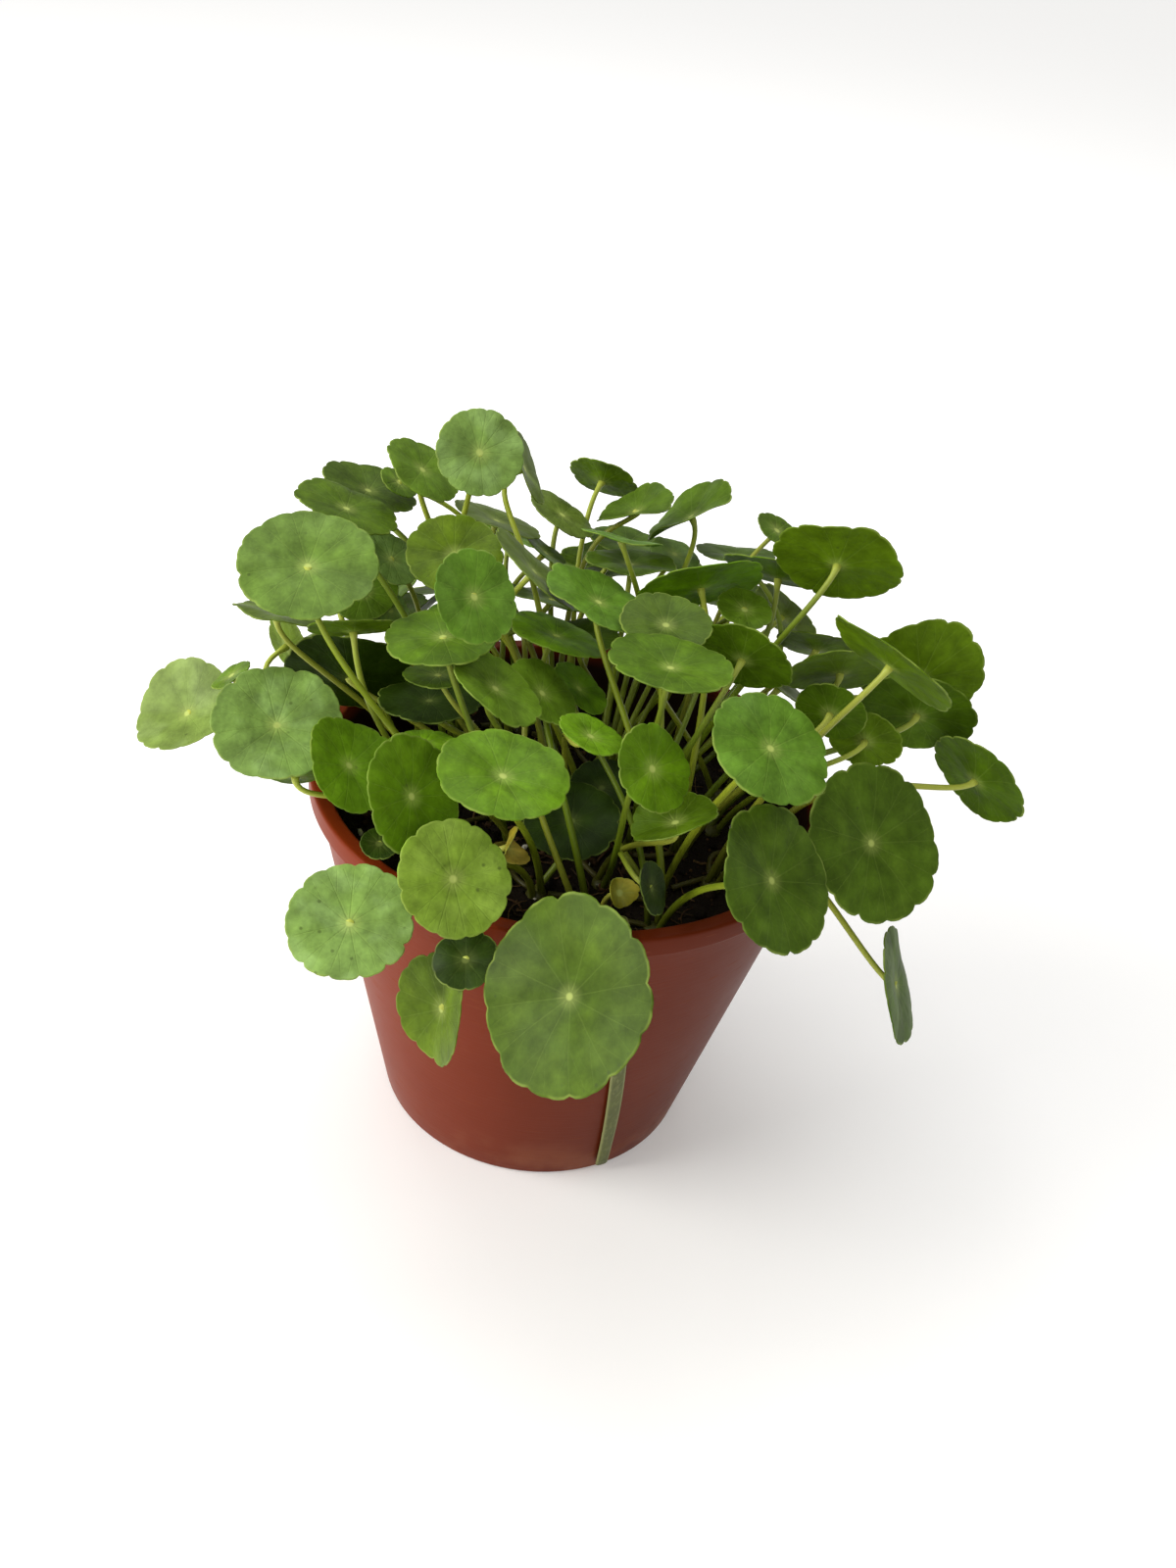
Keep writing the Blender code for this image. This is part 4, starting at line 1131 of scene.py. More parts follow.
def soil_height(x, y):
    """Height of the rough soil, with a little hollow near the wall."""
    level = SOIL_TOP
    for height, size, cut in SOIL_WAVES:
        level += height * noise.noise(Vector((x / size, y / size, cut)))
    edge = max(0.0, math.hypot(x, y) / SOIL_WALL_REACH - HOLLOW_BEGINS)
    return level - HOLLOW_DEPTH * edge


def add_soil_plug(skin):
    """The plug: a rough top, a slanted side and a flat foot, all closed."""
    angle = ring_turns(SOIL_SIDES)
    rows = []
    reaches = np.sqrt(np.linspace(SOIL_FIRST_SHARE, 1, SOIL_RINGS)) * SOIL_WALL_REACH
    for reach in reaches[::-1]:
        x = reach * np.cos(angle)
        y = reach * np.sin(angle)
        rows.append(np.array([(a, b, soil_height(a, b)) for a, b in zip(x, y)]))
    low = np.column_stack([SOIL_FLOOR_REACH * np.cos(angle), SOIL_FLOOR_REACH * np.sin(angle),
                           np.full(SOIL_SIDES, SOIL_FOOT)])
    points = np.concatenate([low, *rows, [[0, 0, SOIL_FOOT], [0, 0, soil_height(0, 0)]]])
    count = SOIL_RINGS + 1
    faces, corners = closed_grid(count, even_marks(SOIL_SIDES), [0] * count)
    skin.add(points, faces, corners, SOIL_TONE, dry=DRYNESS["plug"])


def on_soil(draw, edge):
    """A place on the soil, even over its area, that keeps a distance from the wall."""
    away = (SOIL_WALL_REACH - edge) * math.sqrt(draw.random())
    angle = draw.uniform(0, FULL_TURN)
    return away * math.cos(angle), away * math.sin(angle)


def add_crumb(skin, draw, x, y, size, tone, dry):
    """A small irregular lump that rests on the soil."""
    crumb = bmesh.new()
    bmesh.ops.create_icosphere(crumb, subdivisions=1, radius=1)
    shift = Vector([draw.uniform(0, NOISE_SPAN) for _ in range(3)])
    stretch = np.array([draw.uniform(*limits) for limits in CRUMB_STRETCHES])
    spin = Matrix.Rotation(draw.uniform(0, FULL_TURN), 3, "Z")
    turn = spin @ Matrix.Rotation(draw.uniform(-CRUMB_TILT, CRUMB_TILT), 3, "X")
    middle = np.array([x, y, soil_height(x, y) + CRUMB_RISE * size])
    points = []
    for vertex in crumb.verts:
        lump = 1 + CRUMB_LUMP * noise.noise(vertex.co * CRUMB_LUMPS + shift)
        away = turn @ Vector(stretch * np.array(vertex.co) * lump * size)
        points.append(middle + np.array(away))
    faces = [tuple(vertex.index for vertex in face.verts) for face in crumb.faces]
    crumb.free()
    skin.add(points, faces, [(0, 0)] * (3 * len(faces)), tone, dry=dry)


def add_fibre(skin, draw):
    """A thin bent thread that lies on the soil."""
    x, y = on_soil(draw, FIBRE_EDGE)
    way = draw.uniform(0, FULL_TURN)
    length = draw.uniform(*FIBRE_LENGTHS)
    share = np.linspace(-0.5, 0.5, FIBRE_RINGS)
    bend = draw.uniform(-FIBRE_BEND, FIBRE_BEND) * (1 - 4 * share ** 2)
    course = []
    for part, aside in zip(share, bend):
        a = x + length * part * math.cos(way) - aside * math.sin(way)
        b = y + length * part * math.sin(way) + aside * math.cos(way)
        course.append((a, b, soil_height(a, b) + FIBRE_RISE + draw.uniform(0, FIBRE_LIFT)))
    radii = np.full(FIBRE_RINGS, draw.uniform(*FIBRE_RADII))
    tone = draw.choice(FIBRE_TONES)
    add_tube(skin, np.array(course), radii, FIBRE_SIDES, tone, dry=DRYNESS["fibre"])


def make_soil(material):
    """The plug with everything that lies on it."""
    skin = Skin("dry")
    add_soil_plug(skin)
    draw = random.Random(SOIL_SEED)
    least, most = CRUMB_SIZES
    for _ in range(CRUMBS):
        size = least + (most - least) * draw.random() ** 3
        place = on_soil(draw, CRUMB_EDGE)
        add_crumb(skin, draw, *place, size, draw.choice(CRUMB_TONES), DRYNESS["crumb"])
    places = [*SHOWN_PERLITE, *(on_soil(draw, CRUMB_EDGE) for _ in range(PERLITE))]
    for place in places:
        size = draw.uniform(*PERLITE_SIZES)
        add_crumb(skin, draw, *place, size, PERLITE_TONE, DRYNESS["perlite"])
    for _ in range(FIBRES):
        add_fibre(skin, draw)
    return skin.make("soil_bed", material)


print("the soil top stands at", SOIL_TOP, "mm, with", CRUMBS, "crumbs")

# %% [markdown]
# The pot is moulded plastic, so its form is a profile turned round the axis. Its thick lip has small
# rounds above and below, and the wall meets the floor in a round too. The lip's lower edge makes the
# thin dark line round the pot, so that edge is modelled and not painted. The profile could be drawn
# by hand. Here it is a list of corners, and each corner is rounded by its own radius.

# %% Pot
LIP_DEPTH = 6
LIP_PROUD = 2.4
LIP_SLANT = 0.6
BASE_RADIUS = 48
WALL = 2.4
POT_FLOOR = 2.5
CORE_RADIUS = 3.0
SEAT_GAP = 0.35
POT_SIDES = 192
POT_LENGTH = 8
ROUND_STEPS = 5
ROUNDS = {"foot": 1.5, "under lip": 0.5, "lip edge": 0.6, "lip top": 1.1, "mouth": 0.8, "floor": 2.0}
DRAIN_HOLES = 6
DRAIN_RADIUS = 4
DRAIN_CIRCLE = 31
DRAIN_SIDES = 40
DRILL_LENGTH = 20


def wall_radius(level):
    """Outer radius of the tub below its lip."""
    top = LIP_RADIUS - LIP_PROUD
    return BASE_RADIUS + (top - BASE_RADIUS) * level / (POT_HEIGHT - LIP_DEPTH)


def rounded(corners):
    """A profile whose corners, given as (reach, level, radius of the round), are rounded off."""
    profile = []
    for number, (reach, level, size) in enumerate(corners):
        here = np.array([reach, level], float)
        if size == 0:
            profile.append(here)
            continue
        before = np.array(corners[number - 1][:2], float) - here
        after = np.array(corners[number + 1][:2], float) - here
        start = here + before / np.linalg.norm(before) * size
        end = here + after / np.linalg.norm(after) * size
        for share in np.linspace(0, 1, ROUND_STEPS):
            profile.append(start * (1 - share) ** 2 + here * 2 * share * (1 - share) + end * share ** 2)
    return profile


def refined(profile, longest):
    """The profile with points added, so that no length of it is longer than a limit."""
    points = [profile[0]]
    for low, high in zip(profile[:-1], profile[1:]):
        pieces = max(1, math.ceil(np.linalg.norm(high - low) / longest))
        points += [low + (high - low) * step / pieces for step in range(1, pieces + 1)]
    return points


def drill_holes(pot):
    """Cut the drain holes through the floor."""
    cutters = []
    for turn in ring_turns(DRAIN_HOLES):
        bpy.ops.mesh.primitive_cylinder_add(
            vertices=DRAIN_SIDES, radius=DRAIN_RADIUS * MM, depth=DRILL_LENGTH * MM,
            location=(DRAIN_CIRCLE * MM * math.cos(turn), DRAIN_CIRCLE * MM * math.sin(turn), 0))
        cutters.append(bpy.context.object)
    for cutter in cutters:
        drill = pot.modifiers.new("drain", "BOOLEAN")
        drill.operation = "DIFFERENCE"
        drill.object = cutter
        drill.solver = "EXACT"
    bpy.ops.object.select_all(action="DESELECT")
    bpy.context.view_layer.objects.active = pot
    pot.select_set(True)
    for drill in list(pot.modifiers):
        bpy.ops.object.modifier_apply(modifier=drill.name)
    for cutter in cutters:
        bpy.data.objects.remove(cutter, do_unlink=True)


def make_pot(material):
    """The tub with its lip and drain holes."""
    lip_low = POT_HEIGHT - LIP_DEPTH
    mouth = LIP_RADIUS - LIP_PROUD - WALL + SEAT_GAP
    inner_floor = wall_radius(POT_FLOOR) - WALL
    profile = rounded([
        (CORE_RADIUS, 0.0, 0),
        (BASE_RADIUS, 0.0, ROUNDS["foot"]),
        (wall_radius(lip_low), lip_low - LIP_SLANT, ROUNDS["under lip"]),
        (LIP_RADIUS, lip_low, ROUNDS["lip edge"]),
        (LIP_RADIUS, POT_HEIGHT, ROUNDS["lip top"]),
        (mouth, POT_HEIGHT, ROUNDS["mouth"]),
        (inner_floor, POT_FLOOR, ROUNDS["floor"]),
        (CORE_RADIUS, POT_FLOOR, 0),
    ])
    profile = refined(profile, POT_LENGTH)
    angle = ring_turns(POT_SIDES)
    rows = [np.column_stack([r * np.cos(angle), r * np.sin(angle), np.full(POT_SIDES, z)])
            for r, z in profile]
    levels = [z for _, z in profile]
    faces, corners = closed_grid(len(rows), even_marks(POT_SIDES), levels)
    skin = Skin()
    points = np.concatenate([*rows, [[0, 0, 0], [0, 0, POT_FLOOR]]])
    skin.add(points, faces, corners, (1, 1, 1))
    pot = skin.make("pot_shell", material)
    drill_holes(pot)
    return pot


print("the lip is", 2 * LIP_RADIUS, "mm across and", LIP_DEPTH, "mm deep")

# %% [markdown]
# One spent stalk hangs over the lip and down the front of the pot, drifting to the right on its way.
# It has gone limp, so it is flat like a ribbon, with pale edges. It follows the same path as its
# solid, with more steps and a little waver.

# %% Spent stalk
SPENT_BEARING = -75
SPENT_DRIFT = 16
SPENT_ROOT = 62
SPENT_WIDTH = 4.8
SPENT_THICKNESS = 1.3
SPENT_SLACK = 0.3
SPENT_STEPS = 6
SPENT_DROP = 9
SPENT_STOP = 3
SPENT_FINE = 8
SPENT_SIDES = 20
SPENT_TONE = srgb(76, 82, 22)
SPENT_WAVER = 0.5
SPENT_BENDS = 9
SPENT_TAPER = 0.10
SPENT_SWELL = 0.05
SPENT_SWELLS = 17
SPENT_ROUNDNESS = 0.8


def spent_path():
    """The solid's path as bearing, reach and level: out of the soil, over the lip and down."""
    half = SPENT_THICKNESS / 2
    rest = half + SEAT_GAP + SPENT_SLACK
    over = POT_HEIGHT + rest
    beyond = LIP_RADIUS + rest
    steps = [
        (SPENT_ROOT, SOIL_TOP - 4),
        (SPENT_ROOT + 0.5, SOIL_TOP + 5),
        (SPENT_ROOT + 2.5, over - 4),
        (SPENT_ROOT + 6, over + 0.3),
        (LIP_RADIUS - 1.5, over + 0.4),
        (beyond - 0.4, POT_HEIGHT - 0.6),
        (beyond, POT_HEIGHT - LIP_DEPTH),
    ]
    path = [(SPENT_BEARING, reach, level) for reach, level in steps]
    top = POT_HEIGHT - LIP_DEPTH - SPENT_DROP
    low = half + SPENT_STOP
    for step in range(SPENT_STEPS):
        level = top + (low - top) * step / (SPENT_STEPS - 1)
        bearing = SPENT_BEARING + SPENT_DRIFT * (step + 1) / SPENT_STEPS
        path.append((bearing, wall_radius(level) + rest, level))
    return path


def smooth_path(steps, fine):
    """A smooth line through points, with more points between them."""
    steps = np.array(steps, float)
    padded = np.concatenate([2 * steps[:1] - steps[1:2], steps, 2 * steps[-1:] - steps[-2:-1]])
    points = []
    for k in range(1, len(padded) - 2):
        before, here, after, later = padded[k - 1:k + 3]
        for t in np.linspace(0, 1, fine, endpoint=False):
            points.append(0.5 * (2 * here + (after - before) * t
                                 + (2 * before - 5 * here + 4 * after - later) * t ** 2
                                 + (3 * here - before - 3 * after + later) * t ** 3))
    points.append(padded[-2])
    return np.array(points)


def make_spent_stalk(material):
    """The limp stalk as a flat band with rounded edges."""
    line = smooth_path(spent_path(), SPENT_FINE)
    bearing = np.radians(line[:, 0])
    sides = np.column_stack([-np.sin(bearing), np.cos(bearing), np.zeros(len(line))])
    share = np.linspace(0, 1, len(line))
    centre = np.column_stack([line[:, 1] * np.cos(bearing), line[:, 1] * np.sin(bearing), line[:, 2]])
    waver = SPENT_WAVER * np.sin(SPENT_BENDS * share) * share
    centre = centre + waver[:, None] * sides
    along = np.gradient(centre, axis=0)
    along /= np.linalg.norm(along, axis=1)[:, None]
    facing = np.cross(along, sides)
    width = SPENT_WIDTH / 2 * (1 - SPENT_TAPER * share + SPENT_SWELL * np.sin(SPENT_SWELLS * share))
    turns = ring_turns(SPENT_SIDES)
    rows = []
    for spot, out, side, half in zip(centre, facing, sides, width):
        for turn in turns:
            across = half * math.cos(turn)
            bulge = math.copysign(abs(math.sin(turn)) ** SPENT_ROUNDNESS, math.sin(turn))
            rows.append(spot + side * across + out * (SPENT_THICKNESS / 2 * bulge))
    marks = [abs(math.cos(turn)) for turn in [*turns, FULL_TURN]]
    faces, corners = closed_grid(len(centre), marks, share)
    skin = Skin()
    skin.add(np.array([*rows, centre[0], centre[-1]]), faces, corners, SPENT_TONE)
    return skin.make("spent_stalk_skin", material)


print("the spent stalk is", SPENT_WIDTH, "mm wide")

# %% [markdown]
# Everything from here is about surface. A material is a small network of nodes, and most of them
# are sums, mixes and noises. The helper below adds them by short calls, so that each material reads
# from top to bottom like a recipe.

# %% Helper for shader nodes
class Net:
    """The nodes of one material or group, added and joined by short calls."""

    def __init__(self, tree):
        self.tree = tree

    def node(self, kind, **settings):
        made = self.tree.nodes.new(kind)
        for name, value in settings.items():
            setattr(made, name, value)
        return made

    def feed(self, socket, value):
        if isinstance(value, bpy.types.NodeSocket):
            self.tree.links.new(value, socket)
        elif socket.type == "RGBA" and len(value) == 3:
            socket.default_value = (*value, 1)
        else:
            socket.default_value = value

    def math(self, operation, *values):
        made = self.node("ShaderNodeMath", operation=operation)
        for socket, value in zip(made.inputs, values):
            self.feed(socket, value)
        return made.outputs[0]

    def times(self, one, other):
        return self.math("MULTIPLY", one, other)

    def line(self, value, gain, base):
        """The value times the gain, plus the base."""
        return self.math("MULTIPLY_ADD", value, gain, base)

    def mix(self, share, low, high, blend="MIX"):
        """Two colours mixed. A Mix node's colours are its inputs 6 and 7 and its output 2."""
        made = self.node("ShaderNodeMix", data_type="RGBA", blend_type=blend)
        for place, value in ((0, share), (6, low), (7, high)):
            self.feed(made.inputs[place], value)
        return made.outputs[2]

    def tint(self, colour, other):
        """One colour multiplied by another, channel by channel."""
        return self.mix(1.0, colour, other, "MULTIPLY")

    def shade(self, colour, gain):
        """A colour made lighter or darker by a number."""
        grey = self.node("ShaderNodeCombineColor")
        for socket in grey.inputs:
            self.feed(socket, gain)
        return self.tint(colour, grey.outputs["Color"])

    def rise(self, value, low, high):
        """0 on the low side and 1 on the high side, smooth between; low may be the larger one."""
        made = self.node("ShaderNodeMapRange", interpolation_type="SMOOTHSTEP")
        self.feed(made.inputs["Value"], value)
        self.feed(made.inputs["From Min"], low)
        self.feed(made.inputs["From Max"], high)
        return made.outputs["Result"]

    def noise(self, place, scale, detail=2.0):
        made = self.node("ShaderNodeTexNoise")
        self.feed(made.inputs["Vector"], place)
        self.feed(made.inputs["Scale"], scale)
        self.feed(made.inputs["Detail"], detail)
        return made.outputs["Fac"]

    def patches(self, place, scale, detail, low, high):
        """A mask of soft patches, 1 where a noise is on the high side."""
        return self.rise(self.noise(place, scale, detail), low, high)

    def place(self):
        """Where a point is, in metres."""
        return self.node("ShaderNodeTexCoord").outputs["Object"]

    def stretched(self, place, scale):
        """The place with each axis scaled by its own number."""
        made = self.node("ShaderNodeMapping")
        self.feed(made.inputs["Vector"], place)
        made.inputs["Scale"].default_value = scale
        return made.outputs["Vector"]

    def split(self, vector):
        made = self.node("ShaderNodeSeparateXYZ")
        self.feed(made.inputs[0], vector)
        return made.outputs

    def grid(self):
        """The two numbers that the mesh carries at the corners of its faces."""
        return self.split(self.node("ShaderNodeUVMap", uv_map="grid").outputs["UV"])

    def value(self, name):
        """A number that the mesh carries at each point."""
        return self.node("ShaderNodeAttribute", attribute_name=name).outputs["Fac"]

    def tone(self):
        """The colour that the mesh carries at each point."""
        return self.node("ShaderNodeAttribute", attribute_name="tone").outputs["Color"]

    def bump(self, height, distance, strength=1.0):
        made = self.node("ShaderNodeBump")
        self.feed(made.inputs["Height"], height)
        self.feed(made.inputs["Distance"], distance)
        self.feed(made.inputs["Strength"], strength)
        return made.outputs["Normal"]


FLOAT = "NodeSocketFloat"
COLOUR = "NodeSocketColor"


def new_group(name, inputs, outputs):
    """An empty node group with its sockets, and its own Net."""
    group = bpy.data.node_groups.new(name, "ShaderNodeTree")
    for direction, sockets in (("INPUT", inputs), ("OUTPUT", outputs)):
        for socket, kind in sockets.items():
            group.interface.new_socket(socket, in_out=direction, socket_type=kind)
    net = Net(group)
    return group, net, net.node("NodeGroupInput").outputs, net.node("NodeGroupOutput").inputs


def use_group(net, group, **values):
    """A group placed in a material; gives its outputs."""
    made = net.node("ShaderNodeGroup", node_tree=group)
    for name, value in values.items():
        net.feed(made.inputs[name], value)
    return made.outputs


def new_material(name, constants):
    """A material with its Net and its shader's sockets, some of them set to constants."""
    material = bpy.data.materials.new(name)
    material.use_nodes = True
    shader = material.node_tree.nodes["Principled BSDF"].inputs
    for socket, value in constants.items():
        shader[socket].default_value = value
    return material, Net(material.node_tree), shader


print("helpers of a net:", [name for name in vars(Net) if not name.startswith("_")])

# %% [markdown]
# Nothing that grew or lay outside is one flat colour. The first shared group, mottle, makes soft
# cloudy patches with a finer grain in them. It turns a colour a little lighter or darker, and gives
# the same pattern as a number too. Every material here uses it, each at its own size.

# %% Group: mottle
MOTTLE_DETAIL = (1.5, 3.0)
MOTTLE_FINER = 5.3
MOTTLE_SHARES = (0.7, 0.3)
MOTTLE_SWING = 4.0


def make_mottle():
    group, net, given, results = new_group(
        "mottle",
        {"Colour": COLOUR, "Size": FLOAT, "Amount": FLOAT},
        {"Colour": COLOUR, "Pattern": FLOAT})
    place = net.place()
    scale = net.math("DIVIDE", 1.0, given["Size"])
    broad = net.noise(place, scale, MOTTLE_DETAIL[0])
    fine = net.noise(place, net.times(scale, MOTTLE_FINER), MOTTLE_DETAIL[1])
    pattern = net.math("ADD", net.times(broad, MOTTLE_SHARES[0]), net.times(fine, MOTTLE_SHARES[1]))
    amount = net.times(given["Amount"], MOTTLE_SWING)
    swing = net.times(net.math("SUBTRACT", pattern, 0.5), amount)
    net.feed(results["Colour"], net.shade(given["Colour"], net.math("ADD", 1.0, swing)))
    net.feed(results["Pattern"], pattern)
    return group


mottle = make_mottle()
print("group:", mottle.name)

# %% [markdown]
# The veins of a pennywort leaf run out from the middle, one to each notch, and fork on the way into
# the scallops. Nothing here needs a picture: the mesh says how many scallops round a point is and how
# far out it is, and from these two the group works out how many millimetres it is from a vein. The
# same group gives painted shade for the swelling between two veins, lighter on the swelling and
# darker in the crease at each vein, and marks the pale spot over the stalk, the soft glow round it
# and its short ragged rays.

# %% Group: vein net
# a pair is the two values that a mask rises between, or a gain and a base
LOBE_ANGLE = 2 * FULL_TURN / sum(LARGE_LOBES)
LEAST_OUT = 0.05
TRUNK_WIDTH = (-0.16, 0.34)
TRUNK_EDGE = (1.0, 0.25)
FORK_FROM = 0.5
FORK_SPREAD = 0.42
FORK_WIDTH = 0.2
FORK_EDGE = (1.0, 0.2)
FORK_GROWS = (0.5, 0.58)
FORK_SHARE = 0.6
VEINS_END = (1.0, 0.86)
VEINS_BEGIN = (0.6, 2.0)
PANEL_SHADE_WAVE = (-0.5, 0.5)
NAVEL_EDGE = (1.5, 0.5)
HALO_EDGE = (4.2, 0.6)
HALO_SHARE = 0.3
RAY_REACH = (3.4, 1.2)
RAY_EDGE = (0.36, 0.08)
RAY_END = (1.0, 0.4)
RAY_SHARE = 0.3


def make_vein_net():
    group, net, given, results = new_group(
        "vein net", {"Out": FLOAT}, {"Veins": FLOAT, "Panel": FLOAT, "Star": FLOAT})
    grid = net.grid()
    lobe = grid["X"]
    away = grid["Y"]
    shifted = net.math("ADD", lobe, 0.5)
    part = net.math("ABSOLUTE", net.math("SUBTRACT", net.math("FRACT", shifted), 0.5))
    beside = net.times(net.times(part, LOBE_ANGLE), away)
    width = net.line(given["Out"], *TRUNK_WIDTH)
    trunk = net.rise(net.math("DIVIDE", beside, width), *TRUNK_EDGE)
    size = net.math("DIVIDE", away, net.math("MAXIMUM", given["Out"], LEAST_OUT))
    past = net.math("MAXIMUM", net.math("SUBTRACT", away, net.times(size, FORK_FROM)), 0.0)
    off = net.math("ABSOLUTE", net.math("SUBTRACT", beside, net.times(past, FORK_SPREAD)))
    fork = net.rise(net.math("DIVIDE", off, FORK_WIDTH), *FORK_EDGE)
    branch = net.times(fork, net.rise(given["Out"], *FORK_GROWS))
    tips = net.rise(given["Out"], *VEINS_END)
    veins = net.times(net.math("MAXIMUM", trunk, net.times(branch, FORK_SHARE)), tips)
    net.feed(results["Veins"], net.times(veins, net.rise(away, *VEINS_BEGIN)))
    # painted shade: lighter on the swelling between two veins, darker in the crease at each vein
    wave = net.math("COSINE", net.times(lobe, FULL_TURN))
    net.feed(results["Panel"], net.line(wave, *PANEL_SHADE_WAVE))
    dice = net.node("ShaderNodeTexWhiteNoise", noise_dimensions="1D")
    net.feed(dice.inputs["W"], net.math("FLOOR", shifted))
    reach = net.line(dice.outputs["Value"], *RAY_REACH)
    ending = net.rise(net.math("DIVIDE", away, reach), *RAY_END)
    ray = net.times(net.rise(beside, *RAY_EDGE), ending)
    navel = net.rise(away, *NAVEL_EDGE)
    halo = net.times(net.rise(away, *HALO_EDGE), HALO_SHARE)
    glow = net.math("MAXIMUM", halo, net.times(ray, RAY_SHARE))
    net.feed(results["Star"], net.math("MAXIMUM", navel, glow))
    return group


vein_net = make_vein_net()
print("group:", vein_net.name)

# %% [markdown]
# The leaf material starts from the leaf's own green. Clouds of lighter and darker green come first,
# then the painted light and shade of the pleats and of the swellings between the veins, and a
# painted sheen that lightens and blues the upper face in patches. The veins, a thin pale margin, a
# few dark specks and the pale spot with its rays lie over them. Leaves low in the shade are too dark
# for their veins to show, so the tone's own brightness fades veins and spot. The wax shines, so it
# is a thin coat over a rough leaf: strong on the upper face, weak below.

# %% Material: leaf
VEIN_COLOUR = srgb(134, 160, 66)
STAR_COLOUR = srgb(190, 202, 112)
MARGIN_COLOUR = srgb(140, 158, 72)
SPECK_COLOUR = srgb(50, 62, 20)
UNDER_TINT = srgb(250, 255, 214)
# painted sheen: how much the pale bluish patches lighten each channel
SHEEN_GAIN = (1.42, 1.34, 2.0)
LEAF_SURFACE = {"Specular IOR Level": 0.03, "Coat Roughness": 0.42, "Coat IOR": 1.4,
                "Coat Tint": (0.97, 1.0, 0.9, 1)}
# a pair is the two values that a mask rises between, or a gain and a base; a bump has its depth in
# metres and its strength
UPPER_EDGE = (0.45, 0.55)
# painted light and shade of the pleats, then of the swellings between the veins
PLEAT_SHADE_GAIN = (0.4, 0.8)
PANEL_SHADE_GAIN = (0.06, 0.97)
SUNLIT = (0.02, 0.12)
VEIN_SHARE = (0.09, 0.02)
STAR_SHARE = (0.56, 0.16)
SHEEN_SHARE = 0.6
MARGIN_EDGE = (0.965, 0.995)
MARGIN_SHARE = 0.6
SPECK_SCALE = 240.0
SPECK_EDGE = (0.16, 0.06)
SPECK_SHARE = 0.55
# patches: scale and detail of their noise, and the two values that it rises between
SHEEN_PATCHES = (120.0, 1.5, 0.46, 0.68)
MARGIN_PATCHES = (160.0, 2.0, 0.3, 0.7)
SPECK_PATCHES = (70.0, 2.0, 0.5, 0.62)
LEAF_ROUGHNESS = (0.22, 0.45)
WAX = (0.24, 0.05)
GRAIN_SCALE = 900.0
GRAIN_HEIGHT = 0.35
SWELL_SCALE = 210.0
SWELL_HEIGHT = 6.0
VEIN_GROOVE = -0.5
LEAF_BUMP = (0.00016, 0.8)


def make_leaf_material():
    material, net, shader = new_material("leaf", LEAF_SURFACE)
    out = net.value("out")
    place = net.place()
    upper = net.rise(net.value("upper"), *UPPER_EDGE)
    clouds = use_group(net, mottle, Colour=net.tone(), Size=0.005, Amount=0.36)
    nerves = use_group(net, vein_net, Out=out)
    # painted light and shade: the pleats' broad rays, times the swellings between the veins
    pleat_shaded = net.line(net.value("pleats"), *PLEAT_SHADE_GAIN)
    green = net.shade(clouds["Colour"], net.times(pleat_shaded, net.line(nerves["Panel"], *PANEL_SHADE_GAIN)))
    # painted sheen: pale bluish patches on the upper face
    painted_sheen = net.times(net.times(upper, net.patches(place, *SHEEN_PATCHES)), SHEEN_SHARE)
    sheened = net.mix(painted_sheen, green, net.tint(green, SHEEN_GAIN))
    green = net.mix(upper, net.tint(green, UNDER_TINT), sheened)
    tone = net.node("ShaderNodeSeparateColor")
    net.feed(tone.inputs[0], net.tone())
    sunlit = net.rise(tone.outputs["Green"], *SUNLIT)
    green = net.mix(net.times(nerves["Veins"], net.line(sunlit, *VEIN_SHARE)), green, VEIN_COLOUR)
    margin = net.times(net.rise(out, *MARGIN_EDGE), net.patches(place, *MARGIN_PATCHES))
    green = net.mix(net.times(margin, MARGIN_SHARE), green, MARGIN_COLOUR)
    specks = net.node("ShaderNodeTexVoronoi")
    net.feed(specks.inputs["Vector"], place)
    net.feed(specks.inputs["Scale"], SPECK_SCALE)
    dots = net.rise(specks.outputs["Distance"], *SPECK_EDGE)
    dots = net.times(dots, net.patches(place, *SPECK_PATCHES))
    green = net.mix(net.times(dots, SPECK_SHARE), green, SPECK_COLOUR)
    star = net.times(nerves["Star"], net.line(sunlit, *STAR_SHARE))
    net.feed(shader["Base Color"], net.mix(star, green, STAR_COLOUR))
    net.feed(shader["Roughness"], net.line(clouds["Pattern"], *LEAF_ROUGHNESS))
    wax = net.times(net.line(upper, *WAX), net.math("ADD", clouds["Pattern"], 0.5))
    net.feed(shader["Coat Weight"], wax)
    grain = net.times(net.noise(place, GRAIN_SCALE), GRAIN_HEIGHT)
    relief = net.line(nerves["Veins"], VEIN_GROOVE, grain)
    relief = net.line(net.noise(place, SWELL_SCALE), SWELL_HEIGHT, relief)
    net.feed(shader["Normal"], net.bump(relief, *LEAF_BUMP))
    return material


leaf_material = make_leaf_material()
print("material:", leaf_material.name)

# %% [markdown]
# Stalks are yellowish green and a little glassy. Their lower half is painted darker, towards a
# brownish green near the soil, as painted shade among the leaves, and the last centimetre under the
# blade is pale.

# %% Material: stalk
STALK_PALE = srgb(186, 194, 86)
# painted shade: the dark green that the foot of each stalk is mixed towards
STALK_SHADE = srgb(62, 64, 16)
STALK_SURFACE = {"Roughness": 0.38, "Specular IOR Level": 0.25}
SHADED_FOOT = (0.45, 0.0)
FOOT_SHADE_SHARE = 0.8
PALE_SHARE = 0.75
STALK_BUMP = (0.0003, 0.4)


